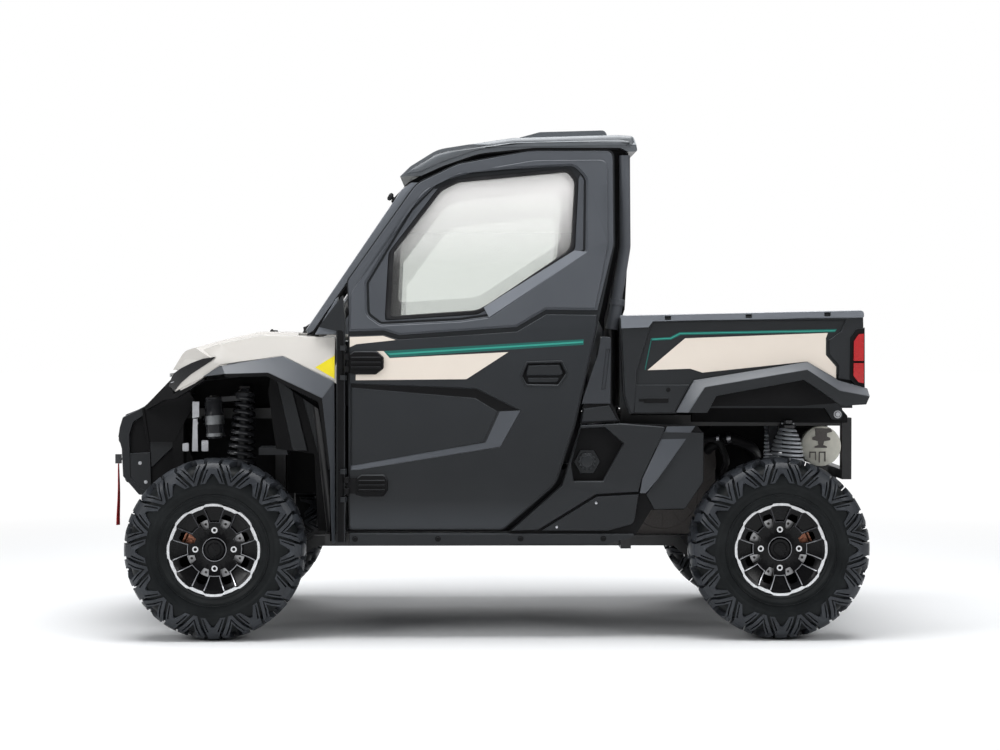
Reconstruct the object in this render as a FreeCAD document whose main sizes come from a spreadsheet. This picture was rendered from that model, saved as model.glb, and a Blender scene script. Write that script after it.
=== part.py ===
"""Side by side utility vehicle with a closed cab and a tipping bed, in millimetres.

Front is -X, the driver's side is -Y and +Z is up. The origin lies on the ground, under
the middle of the vehicle.
"""
import FreeCAD, Part
import math
import os
import Sketcher

V = FreeCAD.Vector
LEFT = -1
RIGHT = 1
os.makedirs("parts", exist_ok=True)
doc = FreeCAD.newDocument("side_by_side")
sheet = doc.addObject("Spreadsheet::Sheet", "Sheet")

SIZES = {
    # axles, wheels and tyres
    "wheelbase": 2300,
    "front_reach": 1085,
    "track_width": 1400,
    "tyre_radius": 369,
    "tyre_width": 254,
    "lug_depth": 22,
    "lug_count": 24,
    "bead_radius": 178,
    "rim_width": 178,
    "rim_lip": 12,
    "rim_face": 46,
    "hub_radius": 30,
    "disc_radius": 112,
    "kingpin_half": 600,
    # cab
    "door_half": 762,
    "door_thick": 46,
    "door_front": 541,
    "door_rear": 545,
    "door_bottom": 444,
    "door_top": 2000,
    "belt_height": 1318,
    "roof_half": 650,
    "roof_top": 2054,
    "pillar_half": 612,
    "pillar_radius": 24,
    "sill_bottom": 382,
    "sill_height": 54,
    "hinge_radius": 12,
    "glass_thick": 6,
    "seat_height": 800,
    "wheel_hoop_radius": 172,
    # front end
    "nose_reach": 1289,
    "hood_height": 1254,
    "hood_half": 395,
    "fender_half": 752,
    "skin": 12,
    "flare_half": 792,
    "flare_depth": 70,
    "bumper_reach": 1537,
    "bumper_half": 330,
    # bed
    "bed_front": 565,
    "bed_rear": 1560,
    "bed_half": 742,
    "bed_floor": 962,
    "bed_rail": 1324,
    "bed_wall": 36,
    "bed_pivot_reach": 1500,
    "bed_pivot_height": 905,
    "gate_thick": 32,
    # frame and running gear
    "frame_half": 255,
    "frame_tube": 44,
    "frame_bottom": 338,
    "frame_step": 48,
    "rear_frame_half": 395,
    "rear_frame_top": 900,
    "arm_rise": 95,
    "arm_radius": 17,
    "spring_radius": 52,
    "half_shaft_radius": 15,
    "muffler_radius": 87,
    "pivot_pin_radius": 12,
    "filler_depth": 40,
    # clearances
    "seat_gap": 0.3,
    "joint_gap": 0.5,
    "panel_gap": 8,
    "run_gap": 6,
}
for row, (alias, value) in enumerate(SIZES.items(), start=1):
    sheet.set(f"A{row}", alias.replace("_", " "))
    sheet.set(f"B{row}", str(value))
    sheet.setAlias(f"B{row}", alias)
doc.recompute()


class Size:
    """A length, together with the formula on the sheet that gives it."""

    def __init__(self, value, text):
        self.value = value
        self.text = text

    def _join(self, other, sign, value):
        return Size(value, f"({self.text} {sign} {other.text})")

    def __add__(self, other):
        other = as_size(other)
        return self._join(other, "+", self.value + other.value)

    def __sub__(self, other):
        other = as_size(other)
        return self._join(other, "-", self.value - other.value)

    def __mul__(self, other):
        other = as_size(other)
        return self._join(other, "*", self.value * other.value)

    def __truediv__(self, other):
        other = as_size(other)
        return self._join(other, "/", self.value / other.value)

    def __radd__(self, other):
        return as_size(other) + self

    def __rsub__(self, other):
        return as_size(other) - self

    def __rmul__(self, other):
        return as_size(other) * self

    def __neg__(self):
        return Size(-self.value, f"(-1 * {self.text})")

    def __float__(self):
        return float(self.value)


def as_size(number):
    """The number as a Size."""
    if isinstance(number, Size):
        return number
    return Size(float(number), f"({float(number)!r})")


def cell(alias):
    """One of the sheet's sizes."""
    return Size(float(sheet.get(alias)), "Sheet." + alias)


def numbers(*sizes):
    """The plain values of some sizes."""
    return [float(size) for size in sizes]


wheelbase = cell("wheelbase")
front_axle = -cell("front_reach")
rear_axle = wheelbase + front_axle
tyre_radius = cell("tyre_radius")
tyre_width = cell("tyre_width")
wheel_half = cell("track_width") / 2
kingpin_half = cell("kingpin_half")
bead_radius = cell("bead_radius")
rim_width = cell("rim_width")
door_half = cell("door_half")
door_thick = cell("door_thick")
door_front = -cell("door_front")
door_rear = cell("door_rear")
door_bottom = cell("door_bottom")
door_top = cell("door_top")
belt_height = cell("belt_height")
panel_gap = cell("panel_gap")
seat_gap = cell("seat_gap")
run_gap = cell("run_gap")
skin = cell("skin")
hood_height = cell("hood_height")
fender_half = cell("fender_half")
flare_half = cell("flare_half")
bed_front = cell("bed_front")
bed_rear = cell("bed_rear")
bed_half = cell("bed_half")
bed_floor = cell("bed_floor")
bed_rail = cell("bed_rail")
frame_tube = cell("frame_tube")
frame_half = cell("frame_half")
frame_bottom = cell("frame_bottom")
rear_frame_half = cell("rear_frame_half")
rear_frame_top = cell("rear_frame_top")
floor_height = frame_bottom + 2 * frame_tube + seat_gap
joint_gap = cell("joint_gap")
arm_rise = cell("arm_rise")
hub_radius = cell("hub_radius")
side_panel_half = door_half - 8
side_panel_thick = 62
sill_half = side_panel_half - side_panel_thick - seat_gap
hinge_half = door_half + 2 + cell("hinge_radius")
hinge_x = door_front - 7
ball_half_height = 20
pillar_half = cell("pillar_half")
pillar_radius = cell("pillar_radius")
parts = []


def keep(thing, label):
    """Give a sub-part its name and put it on the list of files to write."""
    thing.Label = label
    parts.append(thing)
    return thing


def place(thing, x=0, y=0, z=0, turn=None):
    """Put an object at a point, each coordinate bound to the sheet."""
    if turn is not None:
        axis, angle = turn
        thing.Placement = FreeCAD.Placement(V(0, 0, 0), FreeCAD.Rotation(V(*axis), angle))
    for name, size in (("x", x), ("y", y), ("z", z)):
        thing.setExpression(f"Placement.Base.{name}", as_size(size).text)
    return thing


def block(x, y, z, long, wide, high):
    """A box from its lowest corner and its three sizes."""
    box = doc.addObject("Part::Box", "block")
    for name, size in (("Length", long), ("Width", wide), ("Height", high)):
        box.setExpression(name, as_size(size).text)
    return place(box, x, y, z)


def centred_block(x, y, z, long, wide, high):
    """A box from its middle and its three sizes."""
    return block(x - as_size(long) / 2, y - as_size(wide) / 2, z - as_size(high) / 2, long, wide, high)


def round_bar(x, y, z, radius, length, axis="y"):
    """A round bar that starts at a point and runs along +X, +Y or +Z."""
    bar = doc.addObject("Part::Cylinder", "round_bar")
    bar.setExpression("Radius", as_size(radius).text)
    bar.setExpression("Height", as_size(length).text)
    turn = {"x": ((0, 1, 0), 90), "y": ((1, 0, 0), -90), "z": ((0, 0, 1), 0)}[axis]
    return place(bar, x, y, z, turn)


def fuse(*pieces):
    """Pieces welded into one."""
    weld = doc.addObject("Part::MultiFuse", "weld")
    weld.Shapes = list(pieces)
    return weld


def cut(base, tool):
    """A piece with another taken out of it."""
    cutting = doc.addObject("Part::Cut", "cut")
    cutting.Base = base
    cutting.Tool = tool
    return cutting


def shaped(label, shape):
    """A sub-part whose form follows a rule that no sketch or primitive gives."""
    feature = doc.addObject("Part::Feature", label)
    feature.Shape = shape
    return keep(feature, label)


def new_body(label):
    body = doc.addObject("PartDesign::Body", label)
    return keep(body, label)


def origin_plane(body, role):
    return next(item for item in body.Origin.OriginFeatures if item.Role == role)


def draw_loop(drawing, corners):
    """Close one outline of straight runs. A corner's third number is its radius."""
    corners = [[as_size(size) for size in corner] for corner in corners]
    spots = [V(float(corner[0]), float(corner[1]), 0) for corner in corners]
    count = len(corners)
    leave = list(spots)
    arrive = list(spots)
    arcs = {}
    for index, corner in enumerate(corners):
        if len(corner) < 3:
            continue
        radius = float(corner[2])
        back = (spots[index - 1] - spots[index]).normalize()
        ahead = (spots[(index + 1) % count] - spots[index]).normalize()
        half = back.getAngle(ahead) / 2
        arrive[index] = spots[index] + back * (radius / math.tan(half))
        leave[index] = spots[index] + ahead * (radius / math.tan(half))
        centre = spots[index] + (back + ahead).normalize() * (radius / math.sin(half))
        left_turn = (-back).cross(ahead).z > 0
        first, last = (arrive[index], leave[index]) if left_turn else (leave[index], arrive[index])
        angles = [math.atan2((point - centre).y, (point - centre).x) for point in (first, last)]
        if angles[1] < angles[0]:
            angles[1] += 2 * math.pi
        arcs[index] = (Part.ArcOfCircle(Part.Circle(centre, V(0, 0, 1), radius), *angles), left_turn)
    runs = []
    for index in range(count):
        line = Part.LineSegment(leave[index], arrive[(index + 1) % count])
        runs.append(drawing.addGeometry(line))
    for index, corner in enumerate(corners):
        before, after = runs[index - 1], runs[index]
        if index in arcs:
            curve, left_turn = arcs[index]
            arc = drawing.addGeometry(curve)
            point = drawing.addGeometry(Part.Point(spots[index]), True)
            into, out = (1, 2) if left_turn else (2, 1)
            rules = [
                Sketcher.Constraint("Tangent", before, 2, arc, into),
                Sketcher.Constraint("Tangent", arc, out, after, 1),
                Sketcher.Constraint("PointOnObject", point, 1, before),
                Sketcher.Constraint("PointOnObject", point, 1, after),
            ]
            drawing.addConstraint(rules)
            bound = drawing.addConstraint(Sketcher.Constraint("Radius", arc, float(corner[2])))
            drawing.setExpression(f"Constraints[{bound}]", corner[2].text)
            held, end = point, 1
        else:
            drawing.addConstraint(Sketcher.Constraint("Coincident", before, 2, after, 1))
            held, end = after, 1
        for kind, size in (("DistanceX", corner[0]), ("DistanceY", corner[1])):
            bound = drawing.addConstraint(Sketcher.Constraint(kind, -1, 1, held, end, float(size)))
            drawing.setExpression(f"Constraints[{bound}]", size.text)


def new_sketch(body, plane, offset):
    drawing = body.newObject("Sketcher::SketchObject", "outline")
    drawing.AttachmentSupport = (origin_plane(body, plane), [""])
    drawing.MapMode = "FlatFace"
    drawing.setExpression("AttachmentOffset.Base.z", as_size(offset).text)
    return drawing


def sketch(body, plane, *loops, offset=0):
    """Closed outlines on one of a body's own planes, or beside it."""
    drawing = new_sketch(body, plane, offset)
    for corners in loops:
        draw_loop(drawing, corners)
    return drawing


def ring_sketch(body, plane, spots, offset=0):
    """Circles on a plane, each from its centre and radius."""
    drawing = new_sketch(body, plane, offset)
    for across, up, radius in spots:
        across, up, radius = as_size(across), as_size(up), as_size(radius)
        centre = V(float(across), float(up), 0)
        ring = drawing.addGeometry(Part.Circle(centre, V(0, 0, 1), float(radius)))
        rules = (
            (Sketcher.Constraint("DistanceX", -1, 1, ring, 3, float(across)), across),
            (Sketcher.Constraint("DistanceY", -1, 1, ring, 3, float(up)), up),
            (Sketcher.Constraint("Radius", ring, float(radius)), radius),
        )
        for rule, size in rules:
            bound = drawing.addConstraint(rule)
            drawing.setExpression(f"Constraints[{bound}]", size.text)
    return drawing


def pad(body, drawing, length):
    """Thicken an outline by half the length to each side."""
    feature = body.newObject("PartDesign::Pad", "pad")
    feature.Profile = drawing
    feature.SideType = "Symmetric"
    feature.setExpression("Length", as_size(length).text)
    return feature


def pocket(body, drawing, length=None):
    """Cut an outline right through, or by half the length to each side of its plane."""
    feature = body.newObject("PartDesign::Pocket", "pocket")
    feature.Profile = drawing
    feature.SideType = "Symmetric"
    if length is None:
        feature.Type = "ThroughAll"
    else:
        feature.setExpression("Length", as_size(length).text)
    return feature


def revolve(body, drawing, axis="V_Axis"):
    feature = body.newObject("PartDesign::Revolution", "turned")
    feature.Profile = drawing
    feature.ReferenceAxis = (drawing, [axis])
    feature.Angle = 360
    return feature


def mirror(body):
    """Repeat the whole of a body on the other side of the vehicle."""
    features = [item for item in body.Group if item.isDerivedFrom("PartDesign::FeatureAddSub")]
    feature = body.newObject("PartDesign::Mirrored", "other_side")
    feature.Originals = features
    feature.MirrorPlane = (origin_plane(body, "XZ_Plane"), [""])
    body.Tip = feature
    return feature


def polar(body, features, count, role="Y_Axis"):
    """Repeat features around one of a body's axes."""
    feature = body.newObject("PartDesign::PolarPattern", "around")
    feature.Originals = features
    feature.Axis = (origin_plane(body, role), [""])
    feature.Angle = 360
    feature.setExpression("Occurrences", as_size(count).text)
    body.Tip = feature
    return feature


def side_sketch(body, corners, half):
    """An outline seen from the side, in the plane at a distance from the middle.

    A positive distance is on the left.
    """
    return sketch(body, "XZ_Plane", corners, offset=half)


def side_plate(body, corners, outer, thick, side=LEFT):
    """A plate with a side outline, from its outer face inwards."""
    middle = (outer - as_size(thick) / 2) * (-side)
    return pad(body, side_sketch(body, corners, middle), thick)


# Wheels

def outline_solid(points, depth):
    """A prism from a flat outline and the vector that it is drawn out along."""
    wire = Part.makePolygon(points + [points[0]])
    return Part.Face(wire).extrude(depth)


def ring_solid(profile, sides):
    """A faceted ring about the Y axis. The profile is closed, in pairs of y and radius."""
    step = 2 * math.pi / sides

    def corner(spot, turn):
        y, radius = spot
        angle = turn * step - math.pi / 2
        return V(radius * math.cos(angle), y, radius * math.sin(angle))

    faces = []
    for turn in range(sides):
        for spot, following in zip(profile, profile[1:] + profile[:1]):
            loop = [corner(spot, turn - 0.5), corner(following, turn - 0.5)]
            loop += [corner(following, turn + 0.5), corner(spot, turn + 0.5)]
            faces.append(Part.Face(Part.makePolygon(loop + [loop[0]])))
    shell = Part.Shell(faces)
    solid = Part.Solid(shell)
    if solid.Volume < 0:
        solid.reverse()
    return solid


def lug_solid(inner_end, twist, angle, side):
    """One tread lug: a block from the tread over the shoulder, turned about its own middle."""
    radius, half, depth = numbers(tyre_radius, tyre_width / 2, cell("lug_depth"))
    root = radius - depth - 6
    outline = [(inner_end, root), (inner_end, radius), (half - 20, radius), (half, radius - 38)]
    outline += [(half, radius - 84), (half - 14, radius - 84)]
    wide = 46
    middle = side * (inner_end + half) / 2
    points = [V(-wide / 2, side * y, -height) for y, height in outline]
    lug = outline_solid(points, V(wide, 0, 0))
    lug.rotate(V(0, middle, 0), V(0, 0, 1), twist * side)
    lug.rotate(V(0, 0, 0), V(0, 1, 0), angle)
    return lug


def tyre_shape():
    """A tyre about the Y axis: a faceted carcass with two rows of shoulder lugs."""
    radius, half, depth = numbers(tyre_radius, tyre_width / 2, cell("lug_depth"))
    bead = float(bead_radius + seat_gap)
    seat_half = float(rim_width / 2) - 0.6
    sides = int(float(cell("lug_count")))
    crown = radius - depth
    upright = 1 / math.cos(math.pi / sides)
    half_profile = [(seat_half, bead), (seat_half, bead + 16), (half - 7, bead + 62)]
    half_profile += [(half - 7, crown - 52), (half - 26, crown - 4)]
    profile = [(y, r * upright) for y, r in half_profile]
    profile += [(-y, r * upright) for y, r in reversed(half_profile)]
    carcass = ring_solid(profile, sides)
    pitch = 360 / sides
    lugs = []
    for turn in range(sides):
        long_lug = turn % 2 == 0
        inner_end = 14 if long_lug else 44
        twist = 14 if long_lug else -10
        lugs.append(lug_solid(inner_end, twist, turn * pitch, LEFT))
        lugs.append(lug_solid(inner_end, twist, (turn + 0.5) * pitch, RIGHT))
    return carcass.fuse(lugs).removeSplitter()


def rim_body(label, side):
    """A rim with its hub stub and brake disc, outer face towards its own side."""
    body = new_body(label)
    half = rim_width / 2
    lip = bead_radius + cell("rim_lip")
    barrel = bead_radius - 9
    face = cell("rim_face")
    profile = [
        (0, face + 14), (40, face + 14), (46, face + 4), (64, face), (150, face + 20), (barrel, face + 34),
        (barrel, half + 7), (lip, half + 7), (lip, half), (bead_radius, half), (bead_radius, -half),
        (lip, -half), (lip, -half - 6), (barrel, -half - 6), (barrel, face + 4), (150, face - 2),
        (64, face - 20), (cell("hub_radius") + 16, face - 20), (cell("hub_radius") + 16, 8),
        (cell("disc_radius"), 8), (cell("disc_radius"), 2), (cell("hub_radius"), 2),
        (cell("hub_radius"), -44), (0, -44),
    ]
    drawing = sketch(body, "XY_Plane", [(r, as_size(y) * side) for r, y in profile])
    revolve(body, drawing)
    window = [(-26, 92, 6), (26, 92, 6), (36, 142, 6), (-36, 142, 6)]
    turned = [(x, z) for x, z, r in window]
    opening = pocket(body, sketch(body, "XZ_Plane", turned, offset=-side * (face + 10)), 60)
    polar(body, [opening], 8)
    return body


def wheel(name, x, side):
    """A tyre on its rim, set on its axle."""
    turned = tyre_template.copy()
    if side == RIGHT:
        turned.rotate(V(0, 0, 0), V(0, 0, 1), 180)
    tyre = shaped("tyre_" + name, turned)
    rim = rim_body("rim_" + name, side)
    for piece in (tyre, rim):
        place(piece, x, wheel_half * side, tyre_radius)


tyre_template = tyre_shape()
for name, axle, side in (
    ("front_left", front_axle, LEFT),
    ("front_right", front_axle, RIGHT),
    ("rear_left", rear_axle, LEFT),
    ("rear_right", rear_axle, RIGHT),
):
    wheel(name, axle, side)


def hub_carrier(x, side):
    """The casting that holds a hub: a bored boss with an ear above and one below."""
    inner = wheel_half - 40
    boss_long = 36
    width = 44
    ear_thick = 20
    spine_start = kingpin_half + 34
    rise = arm_rise + ball_half_height + joint_gap

    def low(start, long):
        return start if side == RIGHT else -1 * (start + long)

    boss = round_bar(x, low(inner, boss_long), tyre_radius, 56, boss_long)
    spine_long = inner + 30 - spine_start
    spine = block(x - width / 2, low(spine_start, spine_long), tyre_radius - rise - ear_thick,
                  width, spine_long, 2 * (rise + ear_thick))
    ears = []
    ear_start = kingpin_half - 16
    for height in (tyre_radius + rise, tyre_radius - rise - ear_thick):
        ear_long = inner + 30 - ear_start
        ears.append(block(x - width / 2, low(ear_start, ear_long), height, width, ear_long, ear_thick))
    bore = round_bar(x, low(inner - 60, 160), tyre_radius, hub_radius + 0.05, 160)
    return cut(fuse(boss, spine, *ears), bore)


for name, side in (("knuckle_left", LEFT), ("knuckle_right", RIGHT)):
    keep(hub_carrier(front_axle, side), name)
rear_carriers = fuse(hub_carrier(rear_axle, LEFT), hub_carrier(rear_axle, RIGHT))
keep(rear_carriers, "rear_hub_carriers")


# Running gear

def strut(start, end, radius):
    """A round bar between two points."""
    start = V(*numbers(*start))
    end = V(*numbers(*end))
    run = end - start
    return Part.makeCylinder(radius, run.Length, start, run)


def bent_tube(points, radius, bend):
    """A tube along straight runs, with an arc of the same radius at each bend."""
    spots = [V(*numbers(*point)) for point in points]
    edges = []
    start = spots[0]
    for back, corner, ahead in zip(spots, spots[1:], spots[2:]):
        inward = (back - corner).normalize()
        onward = (ahead - corner).normalize()
        half = inward.getAngle(onward) / 2
        reach = bend / math.tan(half)
        first = corner + inward * reach
        last = corner + onward * reach
        centre = corner + (inward + onward).normalize() * (bend / math.sin(half))
        middle = centre + (corner - centre).normalize() * bend
        edges.append(Part.LineSegment(start, first).toShape())
        edges.append(Part.Arc(first, middle, last).toShape())
        start = last
    edges.append(Part.LineSegment(start, spots[-1]).toShape())
    path = Part.Wire(edges)
    ring = Part.Wire(Part.Circle(spots[0], spots[1] - spots[0], radius).toShape())
    return path.makePipeShell([ring], True, False)


def square_bar(start, end, wide):
    """A square bar between two points that differ mostly along one axis."""
    start = V(*numbers(*start))
    end = V(*numbers(*end))
    run = end - start
    across = V(0, 1, 0) if abs(run.y) < 0.7 * run.Length else V(1, 0, 0)
    up = run.cross(across).normalize()
    across = up.cross(run).normalize()
    h = wide / 2
    corners = [start + across * h + up * h, start - across * h + up * h]
    corners += [start - across * h - up * h, start + across * h - up * h]
    return outline_solid(corners, run)


def both_sides(shapes):
    """Shapes made for the left, with their mirror images on the right."""
    return shapes + [shape.mirror(V(0, 0, 0), V(0, 1, 0)) for shape in shapes]


def arm_ends(axle):
    """Ball joint and bush heights of the upper and the lower arm, and their half spreads."""
    hub_z, rise = numbers(tyre_radius, arm_rise)
    rail = float(frame_bottom - cell("frame_step") + frame_tube / 2)
    return ((hub_z + rise, 494.0, 120.0), (hub_z - rise, rail + 8, 170.0))


def wishbones():
    """Upper and lower arms at all four wheels: two tubes each, with bushes and a ball joint."""
    radius = float(cell("arm_radius"))
    bush = 22
    ball_y = -float(kingpin_half)
    root_y = -float(frame_half + frame_tube / 2 + seat_gap) - bush
    arms = []
    for axle_x in numbers(front_axle, rear_axle):
        for level, root_z, spread in arm_ends(axle_x):
            ball = V(axle_x, ball_y, level)
            pieces = [Part.makeCylinder(24, 2 * ball_half_height, ball - V(0, 0, ball_half_height))]
            braces = []
            for reach in (-spread, spread):
                root = V(axle_x + reach, root_y, root_z)
                pieces.append(strut(ball, root, radius))
                pieces.append(Part.makeCylinder(bush, 50, root - V(25, 0, 0), V(1, 0, 0)))
                braces.append(ball + (root - ball) * 0.62)
            pieces.append(strut(*braces, radius * 0.7))
            arms.append(pieces[0].fuse(pieces[1:]).removeSplitter())
    return shaped("wishbones", Part.makeCompound(both_sides(arms)))


wishbones()
SHOCK_EYE = 18


def shock_ends(axle_x, lean, head_y, head_z):
    """Where a shock stands on the rear tube of the upper arm, and its upper eye."""
    ball_z, root_z, spread = arm_ends(axle_x)[0]
    root_y = -float(frame_half + frame_tube / 2 + seat_gap) - 22
    foot_y = -430.0
    share = (foot_y + float(kingpin_half)) / (root_y + float(kingpin_half))
    tube = V(spread * share, 0, ball_z + (root_z - ball_z) * share)
    run = V(spread, root_y + float(kingpin_half), root_z - ball_z).normalize()
    rise = (float(cell("arm_radius")) + SHOCK_EYE + float(seat_gap)) / math.sqrt(1 - run.z ** 2)
    foot = V(axle_x + tube.x, foot_y, tube.z + rise + 1)
    return foot, V(axle_x + lean, head_y, head_z)


def shock(foot, head):
    """A damper inside its coil spring, with an eye at each end."""
    run = head - foot
    rod = Part.makeCylinder(14, run.Length, foot, run)
    spring_foot = foot + run.normalize() * 50
    spring = Part.makeCylinder(float(cell("spring_radius")), (head - foot).Length - 130, spring_foot, run)
    eyes = [Part.makeCylinder(SHOCK_EYE, 40, end - V(20, 0, 0), V(1, 0, 0)) for end in (foot, head)]
    return rod.fuse([spring] + eyes).removeSplitter()


front_shock_ends = shock_ends(float(front_axle), 88, -402, 1000)
rear_head_half = float(rear_frame_half + frame_tube / 2 + seat_gap) + SHOCK_EYE
rear_shock_ends = shock_ends(float(rear_axle), 80, -rear_head_half, float(rear_frame_top - frame_tube / 2))
shaped("shocks", Part.makeCompound(both_sides([shock(*front_shock_ends), shock(*rear_shock_ends)])))


def driveline(axle, case):
    """A final drive case with a half shaft to each wheel."""
    back, ahead, high, case_half = case
    axle_x, hub_z, reach = numbers(axle, tyre_radius, kingpin_half)
    low = float(frame_bottom - cell("frame_step") + frame_tube + seat_gap)
    housing = Part.makeBox(back + ahead, 2 * case_half, high, V(axle_x - ahead, -case_half, low))
    shaft = strut((axle_x, -reach, hub_z), (axle_x, reach, hub_z), float(cell("half_shaft_radius")))
    pieces = [housing, shaft]
    for side in (LEFT, RIGHT):
        flange = V(axle_x, side * (case_half - 4), hub_z)
        pieces.append(Part.makeCylinder(30, 20, flange, V(0, side, 0)))
        pieces.append(Part.makeSphere(40, V(axle_x, side * reach, hub_z)))
        boot_start = V(axle_x, side * (reach - 96), hub_z)
        pieces.append(Part.makeCone(22, 38, 80, boot_start, V(0, side, 0)))
    return pieces[0].fuse(pieces[1:]).removeSplitter()


shaped("final_drives", Part.makeCompound([
    driveline(front_axle, (110, 105, 136, 110)),
    driveline(rear_axle, (100, 185, 220, 150)),
]))

muffler_x = 1432
muffler_z = 771


def ladder_frame():
    """The welded chassis under the cab, the front clip and the rear sub-frame."""
    t = float(frame_tube)
    y, ry, gap = numbers(frame_half, rear_frame_half, seat_gap)
    mid = float(frame_bottom) + t / 2
    low = mid - float(cell("frame_step"))
    upper = mid + t
    fx, rx = numbers(front_axle, rear_axle)
    top = float(rear_frame_top) - t / 2
    sill = float(sill_half) - t / 2
    clip_top = 905
    silencer = float(cell("muffler_radius")) + gap
    silencer_bar = muffler_x + math.sqrt(silencer ** 2 - (top - t / 2 - muffler_z) ** 2) + t / 2
    back = 1522
    left = [
        square_bar((fx - 260, -y, low), (-770, -y, low), t),
        square_bar((-790, -y, low), (-700, -y, mid), t),
        square_bar((-715, -y, mid), (850, -y, mid), t),
        square_bar((830, -y, mid), (890, -y, low), t),
        square_bar((872, -y, low), (rx + 250, -y, low), t),
        square_bar((fx - 210, -y, low), (fx - 210, -y, clip_top), t),
        square_bar((fx + 230, -y, low), (fx + 230, -y, clip_top), t),
        square_bar((fx - 232, -y, clip_top), (-694, -y, clip_top), t),
        square_bar((-640, -sill, upper), (562, -sill, upper), t),
        square_bar((610, -ry, mid - t / 2), (610, -ry, float(bed_floor) - 22 - float(run_gap)), t),
        square_bar((rx + 225, -ry, 560), (rx + 225, -ry, top), t),
        square_bar((590, -ry, top), (back, -ry, top), t),
        square_bar((rx + 225, -ry, 580), (rx + 225, -y, low + 10), t),
        Part.makeCylinder(float(cell("pivot_pin_radius")), 60,
                          V(float(cell("bed_pivot_reach")), -ry + 6, float(cell("bed_pivot_height"))),
                          V(0, -1, 0)),
    ]
    cross = []
    for x, half, z in (
        (fx - 240, y, low), (fx - 60, y, low), (fx + 80, y, low), (fx + 230, y, low),
        (fx - 210, y, clip_top), (fx + 230, y, clip_top), (-615, sill, upper), (530, sill, upper),
        (rx - 130, y, low), (rx + 60, y, low), (rx + 225, y, low), (610, ry, top), (silencer_bar, ry, top),
        (610, ry, mid),
    ):
        cross.append(square_bar((x, -half, z), (x, half, z), t))
    posts = []
    for axle_x in (fx, rx):
        for reach in (-120, 120):
            posts.append(square_bar((axle_x + reach, -y, low), (axle_x + reach, -y, 524), t))
    head = front_shock_ends[1]
    start = V(head.x, -y, clip_top)
    above = V(head.x, -y, head.z)
    posts.append(square_bar(start, above + V(0, 0, t / 2), t))
    posts.append(square_bar(above, V(head.x, head.y + SHOCK_EYE + gap, head.z), t))
    bars = both_sides(left + posts) + cross
    return bars[0].fuse(bars[1:]).removeSplitter()


shaped("frame", ladder_frame())

# Cab

def cab_hoops():
    """The tube cage: a hoop over each side, joined across the roof and the back."""
    radius = float(pillar_radius)
    y = float(pillar_half)
    top_y = y - 40
    base = float(floor_height - seat_gap)
    roof_z = ROOF_UNDERSIDE - radius - float(seat_gap)
    foot_lift = 3
    side_path = [(-615, -y, base + foot_lift), (-700, -y, 1240), (-300, -top_y - 10, 1815),
                 (-70, -top_y, 1930), (230, -top_y, roof_z), (578, -top_y, roof_z), (578, -top_y - 12, 1560), (530, -y, 1300),
                 (530, -y, base)]
    hoops = both_sides([bent_tube(side_path, radius, 90)])
    bars = []
    for x, z, half in ((-70, 1928, top_y), (560, roof_z - 6, top_y), (WALL_BAR, 1300, y), (-672, 905, y)):
        bars.append(strut((x, -half, z), (x, half, z), radius * 0.9))
    pieces = hoops + bars
    return pieces[0].fuse(pieces[1:]).removeSplitter()


ROOF_UNDERSIDE = 2008
WALL_BAR = 536
shaped("cab_frame", cab_hoops())

lean = 108


def leaning_section(body, side, outer, thick, height):
    """Trim a side panel to the cab's cross-section: upright below, leaning in above the belt."""
    belt = float(belt_height)
    inner = outer - thick

    def line(face, shift):
        tucked = face - 22
        return [
            ((tucked + shift) * side, door_bottom - 90),
            ((tucked + shift) * side, door_bottom),
            ((face + shift) * side, door_bottom + 120),
            ((face + shift) * side, belt_height - 60),
            ((face + shift - lean) * side, height),
            ((face + shift - lean - 12) * side, height + 90),
        ]

    outside = line(outer, 0)
    outside = outside + [((outer + 200) * side, height + 90), ((outer + 200) * side, door_bottom - 90)]
    inside = line(inner, 0)
    inside = inside + [((inner - 260) * side, height + 90), ((inner - 260) * side, door_bottom - 90)]
    pocket(body, sketch(body, "YZ_Plane", outside))
    pocket(body, sketch(body, "YZ_Plane", inside))


def door(label, side):
    """One cab door: a thick lower panel and a window frame that leans in."""
    body = new_body(label)
    outline = [
        (door_front, door_bottom, 18), (86, door_bottom, 30), (303, 634, 120), (381, 874),
        (door_rear, 1607, 60), (door_rear, door_top, 34), (205, door_top, 400), (-96, door_top - 56, 160),
        (-268, 1862, 120), (door_front - 8, 1462, 40), (door_front, belt_height, 40),
    ]
    side_plate(body, outline, door_half, 190, side)
    leaning_section(body, side, door_half, door_thick, door_top)
    window = side_sketch(body, window_outline(0), (door_half - 60) * -side)
    pocket(body, window, 260)
    for low, high in hinge_spans:
        leaf = [(hinge_x, low), (-392, low + 14), (-392, high - 14), (hinge_x, high)]
        side_plate(body, leaf, hinge_half + 8, 26, side)
        barrel = ring_sketch(body, "XY_Plane", [(hinge_x, hinge_half * side, cell("hinge_radius"))],
                             offset=(low + high) / 2)
        pad(body, barrel, high - low)
    return body


hinge_spans = ((582, 675), (1077, 1176))


def window_outline(inset):
    """The door glass, seen from the side, smaller all round by the inset."""
    i = as_size(inset)
    return [
        (-381 + i, 1311 + i, 30), (-16 - i, 1336 + i, 90), (30, 1362 + i, 60), (368 - i, 1588, 60),
        (386 - i, 1872 - i, 50), (352 - i, 1912 - i, 30), (-96, 1868 - i, 80), (-168 + i, 1832 - i, 90),
        (-366 + i, 1572, 60),
    ]


def door_glass(label, side):
    """The pane in a door's window, in its rubber."""
    body = new_body(label)
    middle = door_half - door_thick / 2
    side_plate(body, window_outline(seat_gap), door_half, 190, side)
    leaning_section(body, side, middle + cell("glass_thick") / 2, cell("glass_thick"), door_top)
    return body


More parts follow.
